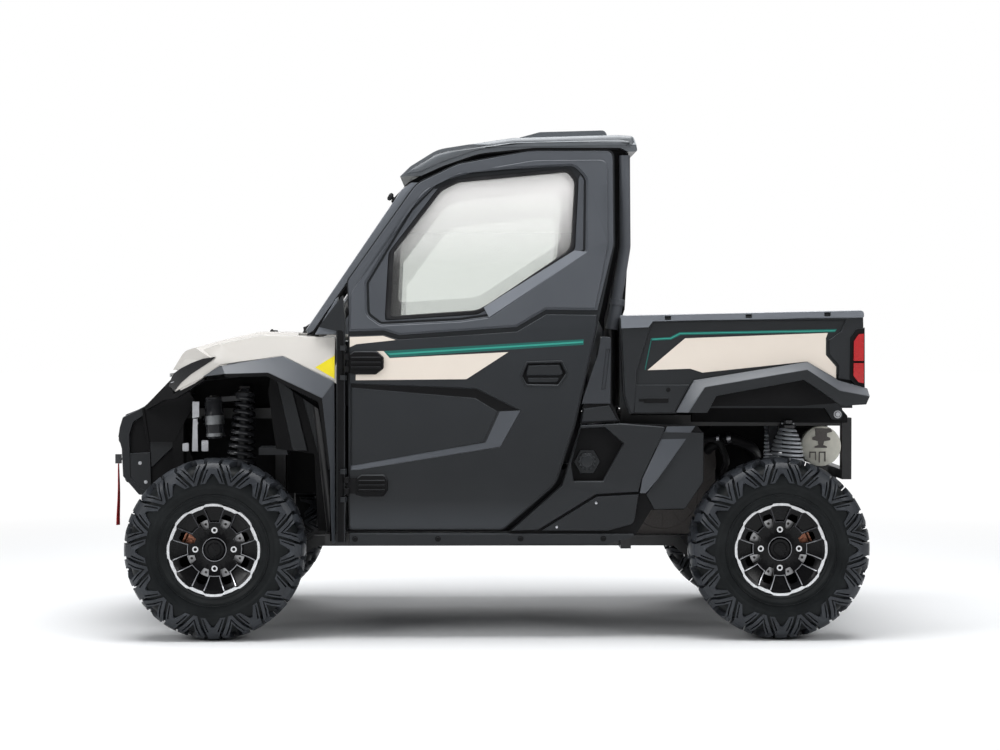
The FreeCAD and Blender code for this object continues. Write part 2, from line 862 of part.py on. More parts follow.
for name, side in (("left", LEFT), ("right", RIGHT)):
    door("door_" + name, side)
    door_glass("door_glass_" + name, side)


def roof():
    """The roof shell: a drooping front lip, a flat crown and a raised rear part."""
    body = new_body("roof")
    top = cell("roof_top")
    half = cell("roof_half")
    crown = [
        (-334, 1889), (-292, 1930, 60), (-180, 2000, 160), (-6, 2028, 300), (125, top - 3), (560, top + 12, 20),
        (628, top + 6, 16), (641, top - 62, 8), (604, top - 62), (569, ROOF_UNDERSIDE),
        (225, ROOF_UNDERSIDE, 300), (-10, 1984, 300), (-160, 1932, 200), (-245, 1893),
    ]
    pad(body, sketch(body, "XZ_Plane", crown), half * 2)
    rise = [(128, top - 20), (150, top + 8), (245, top + 34, 40), (518, top + 42, 20), (540, top - 10)]
    pad(body, sketch(body, "XZ_Plane", rise), half * 1.4)
    edge = 70
    corner = [(half + 5, top + 60), (half + 5, top - 36), (half - 6, top - 30), (half - edge, top + 10),
              (half - edge - 160, top + 60)]
    for side in (LEFT, RIGHT):
        pocket(body, sketch(body, "YZ_Plane", [(y * side, z) for y, z in corner]))
    return body


roof()


def cab_panels():
    """The windscreen, the back wall with its window, and the floor tub."""
    glass = cell("glass_thick")
    screen = new_body("windscreen")
    run = math.hypot(400, 575)
    across, up = -575 / run, 400 / run
    proud = float(pillar_radius + seat_gap)
    low_x, low_z = -700 + across * proud, 1240 + up * proud
    reach = 1.09
    high_x, high_z = low_x + 400 * reach, low_z + 575 * reach
    foot = (low_x, low_z)
    head = (high_x, high_z)
    sheet_outline = [foot, (low_x + across * glass, low_z + up * glass),
                     (high_x + across * glass, high_z + up * glass), head]
    pad(screen, sketch(screen, "XZ_Plane", sheet_outline), pillar_half * 2 + 24)

    wall = new_body("rear_wall")
    thick = 14
    middle = WALL_BAR - pillar_radius * 0.9 - seat_gap - thick / 2
    wall_half = pillar_half - 36
    face = [(-wall_half, 470), (wall_half, 470), (wall_half, 1300), (wall_half - 56, 1900, 40),
            (-wall_half + 56, 1900, 40), (-wall_half, 1300)]
    pad(wall, sketch(wall, "YZ_Plane", face, offset=middle), thick)
    opening = [(-430, 1350, 60), (430, 1350, 60), (400, 1820, 60), (-400, 1820, 60)]
    pocket(wall, sketch(wall, "YZ_Plane", opening))
    pane = new_body("rear_window")
    inset = [(-430 + seat_gap, 1350 + seat_gap, 60), (430 - seat_gap, 1350 + seat_gap, 60),
             (400 - seat_gap, 1820 - seat_gap, 60), (-400 + seat_gap, 1820 - seat_gap, 60)]
    pad(pane, sketch(pane, "YZ_Plane", inset, offset=middle), glass)

    tub = new_body("floor_tub")
    floor = floor_height
    profile = [
        (-626, floor), (470, floor), (470, 720), (455, 720), (455, floor + skin), (-560, floor + skin),
        (-612, 560), (-634, cowl_seat(-634)), (-650, cowl_seat(-650)), (-632, 545),
    ]
    pad(tub, sketch(tub, "XZ_Plane", profile), 2 * (pillar_half - pillar_radius - run_gap))


cowl_underside = hood_height - 14 - skin


def cowl_seat(x):
    """The height just under the cowl, which rises forwards."""
    return cowl_underside - seat_gap + 8 * (-560 - as_size(x)) / 212


cab_panels()


def seats():
    """Two low bucket seats on a common base."""
    body = new_body("seats")
    top = cell("seat_height")
    base = [(-20, top - 120), (396, top - 120), (462, 1290, 30), (392, 1304, 40), (312, top + 30, 60),
            (-10, top, 50)]
    for middle in (-330, 330):
        pad(body, sketch(body, "XZ_Plane", base, offset=-middle), 470)
    return body


seats()
base_low = floor_height + skin + seat_gap
seat_box = block(-10, -565, base_low, 400, 1130, cell("seat_height") - 120 - seat_gap - base_low)
keep(seat_box, "seat_base")

WHEEL_CENTRE = (-250, -330, 1106)
COLUMN_SLOPE = 32


def column_way():
    """The direction of the steering column, from the dashboard to the driver."""
    slope = math.radians(COLUMN_SLOPE)
    return V(math.cos(slope), 0, math.sin(slope))


def dashboard():
    body = new_body("dashboard")
    front = floor_wall_x
    profile = [(front(960), 960), (-560, 945), (-430, 970, 40), (-440, 1170, 60), (-520, 1212, 60),
               (front(1216), 1216)]
    pad(body, sketch(body, "XZ_Plane", profile), 2 * (pillar_half - 34))
    sleeve = body.newObject("PartDesign::AdditiveCylinder", "column_sleeve")
    sleeve.Radius = 26
    sleeve.Height = 150
    foot = V(*WHEEL_CENTRE) - column_way() * (62 + 150)
    sleeve.Placement = FreeCAD.Placement(foot, FreeCAD.Rotation(V(0, 0, 1), column_way()))
    return body


def floor_wall_x(height):
    """The inner face of the firewall at a height, with the seating gap."""
    share = (as_size(height) - 560) / (cowl_seat(-634) - 560)
    return -612 - 22 * share + seat_gap + 0.1


dashboard()


def steering_wheel_shape():
    """A padded hoop with three spokes on a sloping column."""
    centre = V(*WHEEL_CENTRE)
    slope = column_way()
    hoop_radius = float(cell("wheel_hoop_radius"))
    hoop = Part.makeTorus(hoop_radius, 15, centre, slope)
    hub = Part.makeCylinder(42, 34, centre - slope * 30, slope)
    column = Part.makeCylinder(18, 40, centre - slope * (62 - float(joint_gap)), slope)
    side_way = V(0, 1, 0)
    up_way = slope.cross(side_way)
    spokes = []
    for angle in (0, 120, 240):
        way = up_way * math.cos(math.radians(angle)) + side_way * math.sin(math.radians(angle))
        spokes.append(Part.makeCylinder(10, hoop_radius, centre - slope * 12, way))
    return hoop.fuse([hub, column] + spokes).removeSplitter()


shaped("steering_wheel", steering_wheel_shape())

# Bodywork


def front_bodywork():
    """The fenders and nose in body colour, open below, with the well that the hood closes."""
    body = new_body("front_bodywork")
    top = hood_height
    rear = -590
    outside = [
        (rear, 1041 + seat_gap), (rear, top - 14), (-772, top - 6, 120), (-907, top, 200),
        (-1055, top - 34, 200), (-1216, top - 79, 60), (-cell("nose_reach"), top - 187, 20),
        (-1228, 1006 + seat_gap), (-1060, 1114 + seat_gap), (-809, 1148 + seat_gap),
    ]
    pad(body, sketch(body, "XZ_Plane", outside), 2 * fender_half)
    shoulder = [(fender_half + 10, top + 10), (fender_half + 10, top - 150), (fender_half - 6, top - 132),
                (fender_half - 142, top + 6), (fender_half - 142, top + 10)]
    for side in (LEFT, RIGHT):
        pocket(body, sketch(body, "YZ_Plane", [(y * side, z) for y, z in shoulder]))
        pocket(body, sketch(body, "XY_Plane", nose_taper(side)))
    inside = [
        (rear + 30, 900), (rear + 30, top - 14 - skin), (-772, top - 6 - skin, 120), (-907, top - skin, 200),
        (-1055, top - 34 - skin, 200), (-1200, top - 79 - skin, 40), (-1256, top - 194), (-1210, 900),
    ]
    pocket(body, sketch(body, "XZ_Plane", inside), 2 * (fender_half - 162))
    arch = [(rear + 30, 900), (rear + 30, 1098), (-1130, 1098), (-1160, 900)]
    pocket(body, sketch(body, "XZ_Plane", arch), 2 * (fender_half - skin))
    well = [(-1205, -cell("hood_half")), (-800, -cell("hood_half")), (-800, cell("hood_half")),
            (-1205, cell("hood_half"))]
    pocket(body, sketch(body, "XY_Plane", well, offset=top), 200)
    reach = pillar_radius + 10
    for side in (LEFT, RIGHT):
        hole = [(-752, (pillar_half - reach) * side), (-640, (pillar_half - reach) * side),
                (-640, (pillar_half + reach) * side), (-752, (pillar_half + reach) * side)]
        pocket(body, sketch(body, "XY_Plane", hole, offset=top), 400)
        slit = lamp_outline(0, [(-1300, 1092), (-1300, 1040)])
        pocket(body, side_sketch(body, slit, lamp_middle * -side), lamp_wide)
    return body


def nose_taper(side):
    """What the plan view takes off a front corner."""
    return [(-1400, (fender_half + 20) * side), (-1060, (fender_half + 20) * side),
            (-1060, (fender_half - 6) * side), (-1240, (fender_half - 110) * side), (-1400, 480 * side)]


def lamp_outline(inset, front):
    """A headlamp's slit, seen from the side. Its front end is given."""
    i = as_size(inset)
    return front + [(-1238, 1052 + i), (-1143, 1107 + i), (-1090 - i, 1148 - i / 2), (-1197, 1120 - i),
                    (-1256, 1096 - i)]


lamp_middle = as_size(560)
lamp_wide = as_size(260)
front_bodywork()


def hood():
    body = new_body("hood")
    top = hood_height
    profile = [
        (-809, top - 5), (-907, top, 200), (-1055, top - 34, 200), (-1199, top - 76),
        (-1199, top - 76 - skin), (-1055, top - 34 - skin, 200), (-907, top - skin, 200), (-809, top - 5 - skin),
    ]
    half = cell("hood_half") - run_gap
    pad(body, sketch(body, "XZ_Plane", profile), 2 * half)
    hinge = ring_sketch(body, "XZ_Plane", [(hood_hinge_x, hood_hinge_z, hood_hinge_radius)])
    pad(body, hinge, 2 * half)
    return body


hood_hinge_radius = as_size(6.7)
hood_hinge_x = -800 - hood_hinge_radius - seat_gap
hood_hinge_z = hood_height - 12
hood()


def front_flares():
    """The black arch trims over the front wheels, running down to the sill."""
    body = new_body("front_flares")
    outline = [
        (-1228, 1006), (-1060, 1114), (-809, 1148), (-590, 1041), (-590, 392), (-604, 392), (-612, 520),
        (-599, 697), (-664, 952), (-866, 1090, 30), (-1125, 1065, 20), (-1215, 985),
    ]
    side_plate(body, outline, flare_half, cell("flare_depth"))
    mirror(body)
    return body


front_flares()


def pillar_trims():
    """The black trim strip between fender and door, with the corner panel under the screen pillar."""
    body = new_body("pillar_trims")
    front = -590 + seat_gap
    outline = [(front, 392), (door_front - 14, 392), (door_front - 14, 1318), (door_front - 24, 1400),
               (-662, 1272), (front, 1256)]
    side_plate(body, outline, door_half - 4, 58)
    lug_high = 20
    for low, high in hinge_spans:
        for start in (low - lug_high - joint_gap, high + joint_gap):
            middle = start + lug_high / 2
            arm = [(-574, -(door_half - 20)), (door_front - 14, -(door_half - 20)),
                   (door_front - 6, -(hinge_half - 4)), (door_front - 12, -(hinge_half + 8)),
                   (-574, -(hinge_half - 6))]
            pad(body, sketch(body, "XY_Plane", arm, offset=middle), lug_high)
    mirror(body)
    return body


pillar_trims()


def front_fascia():
    body = new_body("front_fascia")
    outline = [
        (-cell("nose_reach"), hood_height - 187 - 1), (-1228, 1006 - 1), (-1200, 960), (-1290, 790),
        (-1402, 790), (-1420, 930),
    ]
    half = lamp_middle - lamp_wide / 2 - 4
    pad(body, sketch(body, "XZ_Plane", outline), 2 * half)
    hollow = [(-1100, 1000), (-1222, 990), (-1286, 1046), (-1400, 922), (-1386, 700), (-1100, 700)]
    pocket(body, sketch(body, "XZ_Plane", hollow), 2 * (half - 18))
    return body


front_fascia()


def headlamps():
    body = new_body("headlamps")
    lens = [(-1270, 1094 - seat_gap), (-1285, 1068), (-1268, 1048)]
    pad(body, side_sketch(body, lamp_outline(seat_gap, lens), lamp_middle), lamp_wide - 2 * seat_gap)
    pocket(body, sketch(body, "XY_Plane", nose_taper(LEFT)))
    mirror(body)
    return body


headlamps()


def side_panels():
    """The lower body behind each door, with the recess of the fuel filler."""
    body = new_body("side_panels")
    g = panel_gap
    outline = [
        (86 + 3 * g, door_bottom - 60), (505, door_bottom - 60), (629, 419), (690, 525), (828, 525, 20),
        (905, 640), (915, 841), (880, 872), (566, 885), (531, 960), (531, 1232), (478 + g, 1240),
        (392 + g, 876), (314 + g, 628), (86 + 3 * g, 436),
    ]
    side_plate(body, outline, side_panel_half, side_panel_thick)
    recess = [(391, 867), (500, 867), (578, 799), (495, 641), (372, 641, 16), (362, 718)]
    pocket(body, side_sketch(body, recess, side_panel_half), 2 * cell("filler_depth"))
    mirror(body)
    return body


side_panels()
cap_long = 30
cap_body = round_bar(430, -(side_panel_half - cell("filler_depth") + seat_gap + cap_long), 724, 36, cap_long)
keep(cap_body, "fuel_cap")


def sill_rails():
    body = new_body("sill_rails")
    low = cell("sill_bottom")
    high = low + cell("sill_height")
    outline = [(door_front, low), (86, low), (86, high), (door_front, high)]
    side_plate(body, outline, side_panel_half - 2, side_panel_thick - 2)
    mirror(body)
    return body


sill_rails()


def front_bumper():
    """Side plates, cross tubes and a skid plate ahead of the frame."""
    body = new_body("front_bumper")
    reach = cell("bumper_reach")
    half = cell("bumper_half")
    plate = [
        (-reach + 94, 927), (-reach + 32, 902), (-reach, 813), (-reach + 25, 763), (-reach + 31, 644),
        (-reach + 95, 569), (-reach + 158, 527), (-1330, 527), (-1330, 640), (-1440, 700), (-1440, 860),
    ]
    for side in (LEFT, RIGHT):
        side_plate(body, plate, half, 14, side)
    for x, z, radius in ((-reach + 60, 884, 22), (-reach + 32, 800, 22), (-reach + 56, 636, 20)):
        pad(body, ring_sketch(body, "XZ_Plane", [(x, z, radius)]), 2 * half + 120)
    skid = [(-reach + 95, 569), (-reach + 158, 527), (-1345, 527), (-1345, 539), (-reach + 162, 539),
            (-reach + 101, 579)]
    pad(body, sketch(body, "XZ_Plane", skid), 2 * half)
    face = front_axle - 210 - frame_tube / 2 - seat_gap
    beam = [(face - 40, 560), (face, 560), (face, 610), (face - 40, 610)]
    pad(body, sketch(body, "XZ_Plane", beam), 2 * half)
    return body


front_bumper()

winch_low = 636 + 20 + seat_gap
winch_drum = fuse(
    round_bar(-1452, -150, winch_low + 52, 46, 300),
    block(-1504, -215, winch_low, 104, 68, 104),
    block(-1504, 147, winch_low, 104, 68, 104),
    round_bar(-1576, 0, 696, 6, 90, "x"),
    centred_block(-1586, 0, 696, 26, 22, 40),
)
keep(winch_drum, "winch")
strap = centred_block(-1586, 0, 696 - 20 - seat_gap - 135, 6, 25, 270)
keep(strap, "hook_strap")

engine_low = frame_bottom + frame_tube + seat_gap
engine = block(640, -260, engine_low, 370, 520, 780 - engine_low)
keep(engine, "engine_block")
muffler = round_bar(muffler_x, -350, muffler_z, cell("muffler_radius"), 700)
keep(muffler, "muffler")


def rear_bumper():
    """Two upright posts behind the wheels, a cross bar and the tow receiver."""
    face = 1522 + seat_gap
    deep = 40
    post_low = 630
    posts = [block(face, side * rear_frame_half - 30, post_low, deep, 60, rear_frame_top - 10 - post_low)
             for side in (LEFT, RIGHT)]
    bar = block(face, -rear_frame_half, post_low, deep, 2 * rear_frame_half, 40)
    receiver_end = 1624
    receiver = block(1400, -32, 440, receiver_end - 1400, 64, 64)
    hanger = block(face, -30, 470, deep, 60, post_low - 460)
    solid = fuse(receiver, bar, hanger, *posts)
    pin = round_bar(receiver_end - 28, -40, 472, 7.94, 80)
    bore = block(1390, -25.6, 446.4, receiver_end - 1380, 51.2, 51.2)
    return cut(solid, fuse(pin, bore))


keep(rear_bumper(), "rear_bumper")

# Bed


def bed_tub():
    """The load box: floor, front wall and two side walls, open at the top and at the gate."""
    body = new_body("bed_tub")
    wall = cell("bed_wall")
    half = bed_half - 46
    low = bed_floor - 22
    section = [
        (-half, low), (half, low), (half, bed_rail - 14), (half - wall, bed_rail - 14),
        (half - wall, bed_floor, 30), (-half + wall, bed_floor, 30), (-half + wall, bed_rail - 14),
        (-half, bed_rail - 14),
    ]
    length = bed_rear - 40 - bed_front
    middle = (bed_rear - 40 + bed_front) / 2
    pad(body, sketch(body, "YZ_Plane", section, offset=middle), length)
    front = [(-half, low), (half, low), (half, bed_rail - 14), (-half, bed_rail - 14)]
    pad(body, sketch(body, "YZ_Plane", front, offset=bed_front + wall / 2), wall)
    x, z = cell("bed_pivot_reach"), cell("bed_pivot_height")
    ear = [(x - 24, z - 22, 20), (x + 24, z - 22, 20), (x + 18, low + 4), (x - 60, low + 4)]
    ear_thick = 12
    ear_middle = rear_frame_half + frame_tube / 2 + 14 + ear_thick / 2
    pin = cell("pivot_pin_radius")
    for side in (LEFT, RIGHT):
        pad(body, side_sketch(body, ear, ear_middle * side), ear_thick)
        pocket(body, ring_sketch(body, "XZ_Plane", [(x, z, pin + 0.1)], offset=ear_middle * side), 30)
    return body


bed_tub()


def bed_sides():
    """The outer side skins with the arch flares over the rear wheels."""
    body = new_body("bed_sides")
    outline = [
        (600, 921), (574, 1000), (bed_front - 3, bed_rail - 12), (bed_rear, bed_rail + 13, 14),
        (bed_rear + 4, 1040), (1328, 1122), (868, 1049), (795, 921),
    ]
    side_plate(body, outline, bed_half, 46 - seat_gap)
    flare = [
        (791, 924), (868, 1053), (1328, 1126, 30), (1451, 1049), (bed_rear + 16, 1020), (bed_rear + 16, 988),
        (bed_rear, 955), (1470, 949), (1308, 1056, 30), (951, 992), (914, 924),
    ]
    side_plate(body, flare, flare_half, flare_half - bed_half + 40)
    mirror(body)
    return body


bed_sides()


def tail_lamps():
    body = new_body("tail_lamps")
    outline = [(bed_rear - 50, 1036), (bed_rear - 4, 1036), (bed_rear - 4, 1251), (bed_rear - 50, 1251)]
    side_plate(body, outline, bed_half + 8, 8 - seat_gap)
    mirror(body)
    return body


tail_lamps()


def tailgate():
    body = new_body("tailgate")
    half = bed_half - 46 - run_gap
    thick = cell("gate_thick")
    middle = bed_rear - thick / 2
    face = [(-half, bed_floor - 6), (half, bed_floor - 6), (half, bed_rail - 14), (-half, bed_rail - 14)]
    pad(body, sketch(body, "YZ_Plane", face, offset=middle), thick)
    pin = ring_sketch(body, "XZ_Plane", [(middle, gate_hinge_z, 8)])
    pad(body, pin, 2 * (bed_half - 40 - seat_gap))
    return body


gate_hinge_z = bed_floor + 4


tailgate()

# Files

doc.recompute()
faults = []
for item in doc.Objects:
    if "Invalid" in item.State or "Error" in item.State:
        owners = [owner.Label for owner in item.InList]
        faults.append(f"{item.Name} of {owners}: {item.getStatusString()}")
for part in parts:
    if part.Shape.isNull() or not part.Shape.isValid():
        faults.append(f"{part.Label} has no valid shape")
if faults:
    raise RuntimeError("\n".join(faults))
for part in parts:
    part.Shape.exportStep(f"parts/{part.Label}.step")
    print(part.Label, len(part.Shape.Solids), round(part.Shape.Volume / 1e6, 2))
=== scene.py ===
# %% [markdown]
# # A side by side utility vehicle, dressed
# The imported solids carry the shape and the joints. This lesson gives them their looks, one
# assembly at a time: tyres, wheels, running gear, frame, cab, doors, bodywork and bed. Each step
# says what the real piece is before it builds it.

# %% Load the solids
import math

import bmesh
import bpy
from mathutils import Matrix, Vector
from mathutils.geometry import tessellate_polygon


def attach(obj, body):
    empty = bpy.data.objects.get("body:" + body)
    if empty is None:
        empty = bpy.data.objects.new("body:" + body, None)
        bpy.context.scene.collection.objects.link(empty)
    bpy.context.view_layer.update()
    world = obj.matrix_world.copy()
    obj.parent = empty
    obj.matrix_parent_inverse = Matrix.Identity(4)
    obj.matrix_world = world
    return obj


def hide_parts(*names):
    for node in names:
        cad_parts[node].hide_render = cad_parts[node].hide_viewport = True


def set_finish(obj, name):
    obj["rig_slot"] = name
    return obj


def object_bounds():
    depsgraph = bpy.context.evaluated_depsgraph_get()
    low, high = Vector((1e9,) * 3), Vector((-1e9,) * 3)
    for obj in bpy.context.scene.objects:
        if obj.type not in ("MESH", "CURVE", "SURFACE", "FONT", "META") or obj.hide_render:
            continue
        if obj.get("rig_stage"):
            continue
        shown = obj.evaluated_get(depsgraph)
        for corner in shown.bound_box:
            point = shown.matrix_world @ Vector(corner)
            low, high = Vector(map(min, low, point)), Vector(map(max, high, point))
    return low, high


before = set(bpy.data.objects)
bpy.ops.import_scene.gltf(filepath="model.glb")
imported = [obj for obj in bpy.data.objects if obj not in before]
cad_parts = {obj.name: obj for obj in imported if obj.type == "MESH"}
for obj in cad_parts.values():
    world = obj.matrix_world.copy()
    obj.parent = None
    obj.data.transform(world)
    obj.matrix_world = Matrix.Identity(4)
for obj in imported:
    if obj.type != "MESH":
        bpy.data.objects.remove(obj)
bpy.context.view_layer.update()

# %% [markdown]
# ## Helpers for shading
# A finish is a small tree of nodes. Wrapping a socket in a class with operators lets a rule such
# as wear times noise be written as plain arithmetic, which is easier to read than a node graph.

# %% Arithmetic on sockets
class Flow:
    """A value in a finish, so that rules for shading read as sums."""

    def __init__(self, finish, socket):
        self.finish = finish
        self.socket = socket

    def _math(self, operation, first, second):
        node = self.finish.tree.nodes.new("ShaderNodeMath")
        node.operation = operation
        for entry, value in zip(node.inputs, (first, second)):
            self.finish.feed(entry, value)
        return Flow(self.finish, node.outputs[0])

    def __add__(self, other):
        return self._math("ADD", self, other)

    def __sub__(self, other):
        return self._math("SUBTRACT", self, other)

    def __mul__(self, other):
        return self._math("MULTIPLY", self, other)

    def __rsub__(self, other):
        return self._math("SUBTRACT", other, self)

    __radd__ = __add__
    __rmul__ = __mul__


class Finish:
    """A material under construction, named for the piece of the vehicle that wears it."""

    def __init__(self, name, slot):
        self.material = bpy.data.materials.new(name)
        self.material.use_nodes = True
        self.tree = self.material.node_tree
        self.shader = self.tree.nodes["Principled BSDF"]
        self.slot = slot
        self.place = self.node("ShaderNodeTexCoord").outputs["Object"]

    def feed(self, entry, value):
        """Give a socket a value, or link it to one."""
        if isinstance(value, Flow):
            value = value.socket
        if isinstance(value, bpy.types.NodeSocket):
            self.tree.links.new(value, entry)
        elif isinstance(value, (tuple, list)) and len(value) == 3 and entry.type == "RGBA":
            entry.default_value = (*value, 1)
        else:
            entry.default_value = value

    def node(self, kind, settings=(), **sockets):
        """A node with its settings made first, then its sockets."""
        made = self.tree.nodes.new(kind)
        for name, value in dict(settings).items():
            setattr(made, name, value)
        for name, value in sockets.items():
            self.feed(made.inputs[name.replace("_", " ")], value)
        return made

    def noise(self, scale, detail=3.0, stretch=None):
        """Grey noise over the surface, at a scale per metre."""
        place = self.place
        if stretch:
            place = self.node("ShaderNodeMapping", Vector=place, Scale=stretch).outputs[0]
        made = self.node("ShaderNodeTexNoise", Vector=place, Scale=scale, Detail=detail)
        return Flow(self, made.outputs["Fac"])

    def band(self, value, low, high):
        """0 below low, 1 above high and even between them."""
        ramp = self.node("ShaderNodeMapRange", Value=value)
        ramp.inputs["From Min"].default_value = low
        ramp.inputs["From Max"].default_value = high
        return Flow(self, ramp.outputs[0])

    def mix(self, share, first, second):
        """One colour over another."""
        made = self.node("ShaderNodeMix", {"data_type": "RGBA"})
        for entry, value in zip((made.inputs[0], made.inputs[6], made.inputs[7]), (share, first, second)):
            self.feed(entry, value)
        return made.outputs[2]

    def bumps(self, height, strength, distance, under=None):
        """Relief for the shader's normal."""
        made = self.node("ShaderNodeBump", Height=height)
        made.inputs["Strength"].default_value = strength
        made.inputs["Distance"].default_value = distance
        if under is not None:
            self.feed(made.inputs["Normal"], under)
        return made.outputs[0]

    def part(self, letter, vector=None):
        """One part of a vector: of the way the surface faces, unless another is given."""
        if vector is None:
            vector = self.node("ShaderNodeNewGeometry").outputs["Normal"]
        return Flow(self, self.node("ShaderNodeSeparateXYZ", Vector=vector).outputs[letter])

    def wear(self):
        """White on outside edges, from how far a rounded corner turns the surface."""
        pointed = self.node("ShaderNodeNewGeometry").outputs["Pointiness"]
        return self.band(Flow(self, pointed), 0.505, 0.56)

    def set(self, **sockets):
        for name, value in sockets.items():
            self.feed(self.shader.inputs[name.replace("_", " ")], value)
        return self


# %% [markdown]
# ## Finishes
# Most of the outside is moulded plastic with a fine leather-like grain: near black, a little
# lighter where it catches dust, painted paler where it faces up for the light from above, and satin
# rather than shiny. The fenders and hood are smooth sand-coloured plastic, painted darker where they
# face up, a painted shade against that light. Metals are powder coated, cast, machined or plated.

# %% Moulded plastics and paint
# Pale colour for what faces up: dust, and painted light from the lamps above.
PALE_DUST_AND_TOP_LIGHT = (0.30, 0.32, 0.34)


def moulded(name, slot, colour, rough, grain=900.0, relief=0.16, gloss=0.34, dust=0.1,
            painted_light_bands=False):
    """Textured moulded plastic. Dust lifts the colour in broad patches, and what faces up is painted
    paler, partly dust and partly painted light from above; the dust argument sets how much. With
    painted light bands it is painted paler at its foot, a painted reflection of the floor, and lighter
    towards the waist."""
    finish = Finish(name, slot)
    patches = finish.noise(7.0, 4.0)
    speckle = finish.noise(grain, 2.0)
    dusty = tuple(min(1.0, part * 1.4 + 0.004) for part in colour)
    # What faces up is painted paler: partly dust, partly painted light from above.
    up_facing_share = finish.band(finish.part("Z"), 0.25, 0.95) * (patches * 0.3 + dust)
    plastic_tone = finish.mix(patches * 0.5 + finish.wear() * 0.4, colour, dusty)
    if painted_light_bands:
        # Painted light bands: paler at the foot, a painted reflection of the white floor, and lighter towards
        # the waist.
        height = finish.part("Z", finish.place)
        painted_light_share = finish.band(height, 0.75, 1.26) * 0.42 + (1.0 - finish.band(height, 0.47, 0.57)) * 0.8
        plastic_tone = finish.mix(painted_light_share, plastic_tone, tuple(part * 3.0 for part in colour))
    tint = finish.mix(up_facing_share, plastic_tone, PALE_DUST_AND_TOP_LIGHT)
    finish.set(Base_Color=tint, Roughness=speckle * 0.16 + patches * 0.1 + (rough - 0.13))
    finish.set(Specular_IOR_Level=gloss)
    finish.set(Normal=finish.bumps(speckle, relief, 0.0004))
    return finish


def painted(name, slot, colour, rough=0.3):
    """Smooth coloured plastic with the slight orange peel of a moulding. What faces up is painted darker, a
    painted shade against the strong light from above.
    """
    finish = Finish(name, slot)
    patches = finish.noise(5.0, 3.0)
    peel = finish.noise(240.0, 1.0)
    deeper = tuple(part * 0.93 for part in colour)
    # Painted shade: what faces up is darkened to hold back the light from above.
    top_shade_colour = tuple(part * 0.42 for part in colour)
    up_facing_share = finish.band(finish.part("Z"), 0.35, 0.95) * 0.9
    finish.set(Base_Color=finish.mix(up_facing_share, finish.mix(patches, colour, deeper), top_shade_colour),
               Roughness=patches * 0.08 + (rough - 0.04))
    finish.set(Coat_Weight=0.2, Coat_Roughness=0.2, Specular_IOR_Level=0.3)
    finish.set(Normal=finish.bumps(peel, 0.05, 0.0003))
    return finish


BLACK = "black_plastic"
charcoal = moulded("charcoal_plastic", BLACK, (0.013, 0.0145, 0.0165), 0.40, gloss=0.28)
door_plastic = moulded("door_plastic", BLACK, (0.012, 0.0135, 0.0155), 0.40, gloss=0.28, painted_light_bands=True)
mid_slate = moulded("mid_slate_plastic", BLACK, (0.028, 0.031, 0.036), 0.40, gloss=0.3)
slate = moulded("slate_plastic", BLACK, (0.056, 0.061, 0.070), 0.38)
# A paler copy of the slate plastic, painted light: on the pillar covers in the roof's shade, the window ledge
# and the bed rails.
pale_slate = moulded("pale_slate_plastic", BLACK, (0.136, 0.147, 0.166), 0.36)
# Near-black plastic for real inner parts, and for dark sheets of painted shade in joints, wells and under
# lips.
shadow_plastic = moulded("inner_plastic", BLACK, (0.004, 0.004, 0.0045), 0.62, gloss=0.12, dust=0.0)
roof_plastic = moulded("roof_plastic", BLACK, (0.075, 0.082, 0.090), 0.36, 1200.0, 0.08, 0.45, 0.4)
sand = painted("sand_plastic", "body_sand", (0.59, 0.568, 0.535), 0.42)
sand_print = painted("sand_decal", "body_sand", (0.80, 0.72, 0.635), 0.4)
teal_print = painted("teal_decal", BLACK, (0.035, 0.33, 0.26), 0.34)
deep_teal_print = painted("deep_teal_decal", BLACK, (0.010, 0.115, 0.100), 0.36)
yellow_print = painted("yellow_decal", "body_sand", (0.86, 0.71, 0.025), 0.36)
print("plastics and paints", len(bpy.data.materials))

# %% Rubber and metals
def rubber(name, slot, colour, rough, gloss=0.22):
    """Tyre rubber: dull, with dust held in its fine roughness."""
    finish = Finish(name, slot)
    dust = finish.noise(11.0, 5.0)
    pores = finish.noise(700.0, 3.0)
    dusty = tuple(part * 1.9 + 0.008 for part in colour)
    share = finish.band(dust, 0.42, 0.75) * 0.55 + finish.wear() * 0.45
    finish.set(Base_Color=finish.mix(share, colour, dusty), Roughness=dust * 0.14 + (rough - 0.07))
    finish.set(Specular_IOR_Level=gloss, Normal=finish.bumps(pores, 0.2, 0.0005))
    return finish


def metal(name, slot, colour, rough, metallic=1.0, grain=60.0, relief=0.1, stretch=None):
    """Bare or plated metal. The grain can be stretched into machining lines."""
    finish = Finish(name, slot)
    marks = finish.noise(grain, 5.0, stretch)
    dull = tuple(part * 0.72 for part in colour)
    finish.set(Base_Color=finish.mix(marks, colour, dull), Metallic=metallic)
    finish.set(Roughness=marks * 0.2 + (rough - 0.08), Normal=finish.bumps(marks, relief, 0.0005))
    return finish


def coated(name, slot, colour, rough):
    """Powder coat on steel: a fine orange peel, polished a little on the edges."""
    finish = Finish(name, slot)
    peel = finish.noise(420.0, 2.0)
    grime = finish.noise(9.0, 4.0)
    brown = tuple(part * 1.6 + 0.01 for part in colour)
    finish.set(Base_Color=finish.mix(finish.band(grime, 0.5, 0.8) * 0.5, colour, brown))
    finish.set(Roughness=grime * 0.2 + (rough - 0.1) - finish.wear() * 0.1)
    finish.set(Normal=finish.bumps(peel, 0.1, 0.0004))
    return finish


tyre_rubber = rubber("tyre_rubber", "tyre_rubber", (0.0044, 0.0056, 0.0062), 0.46, 0.15)
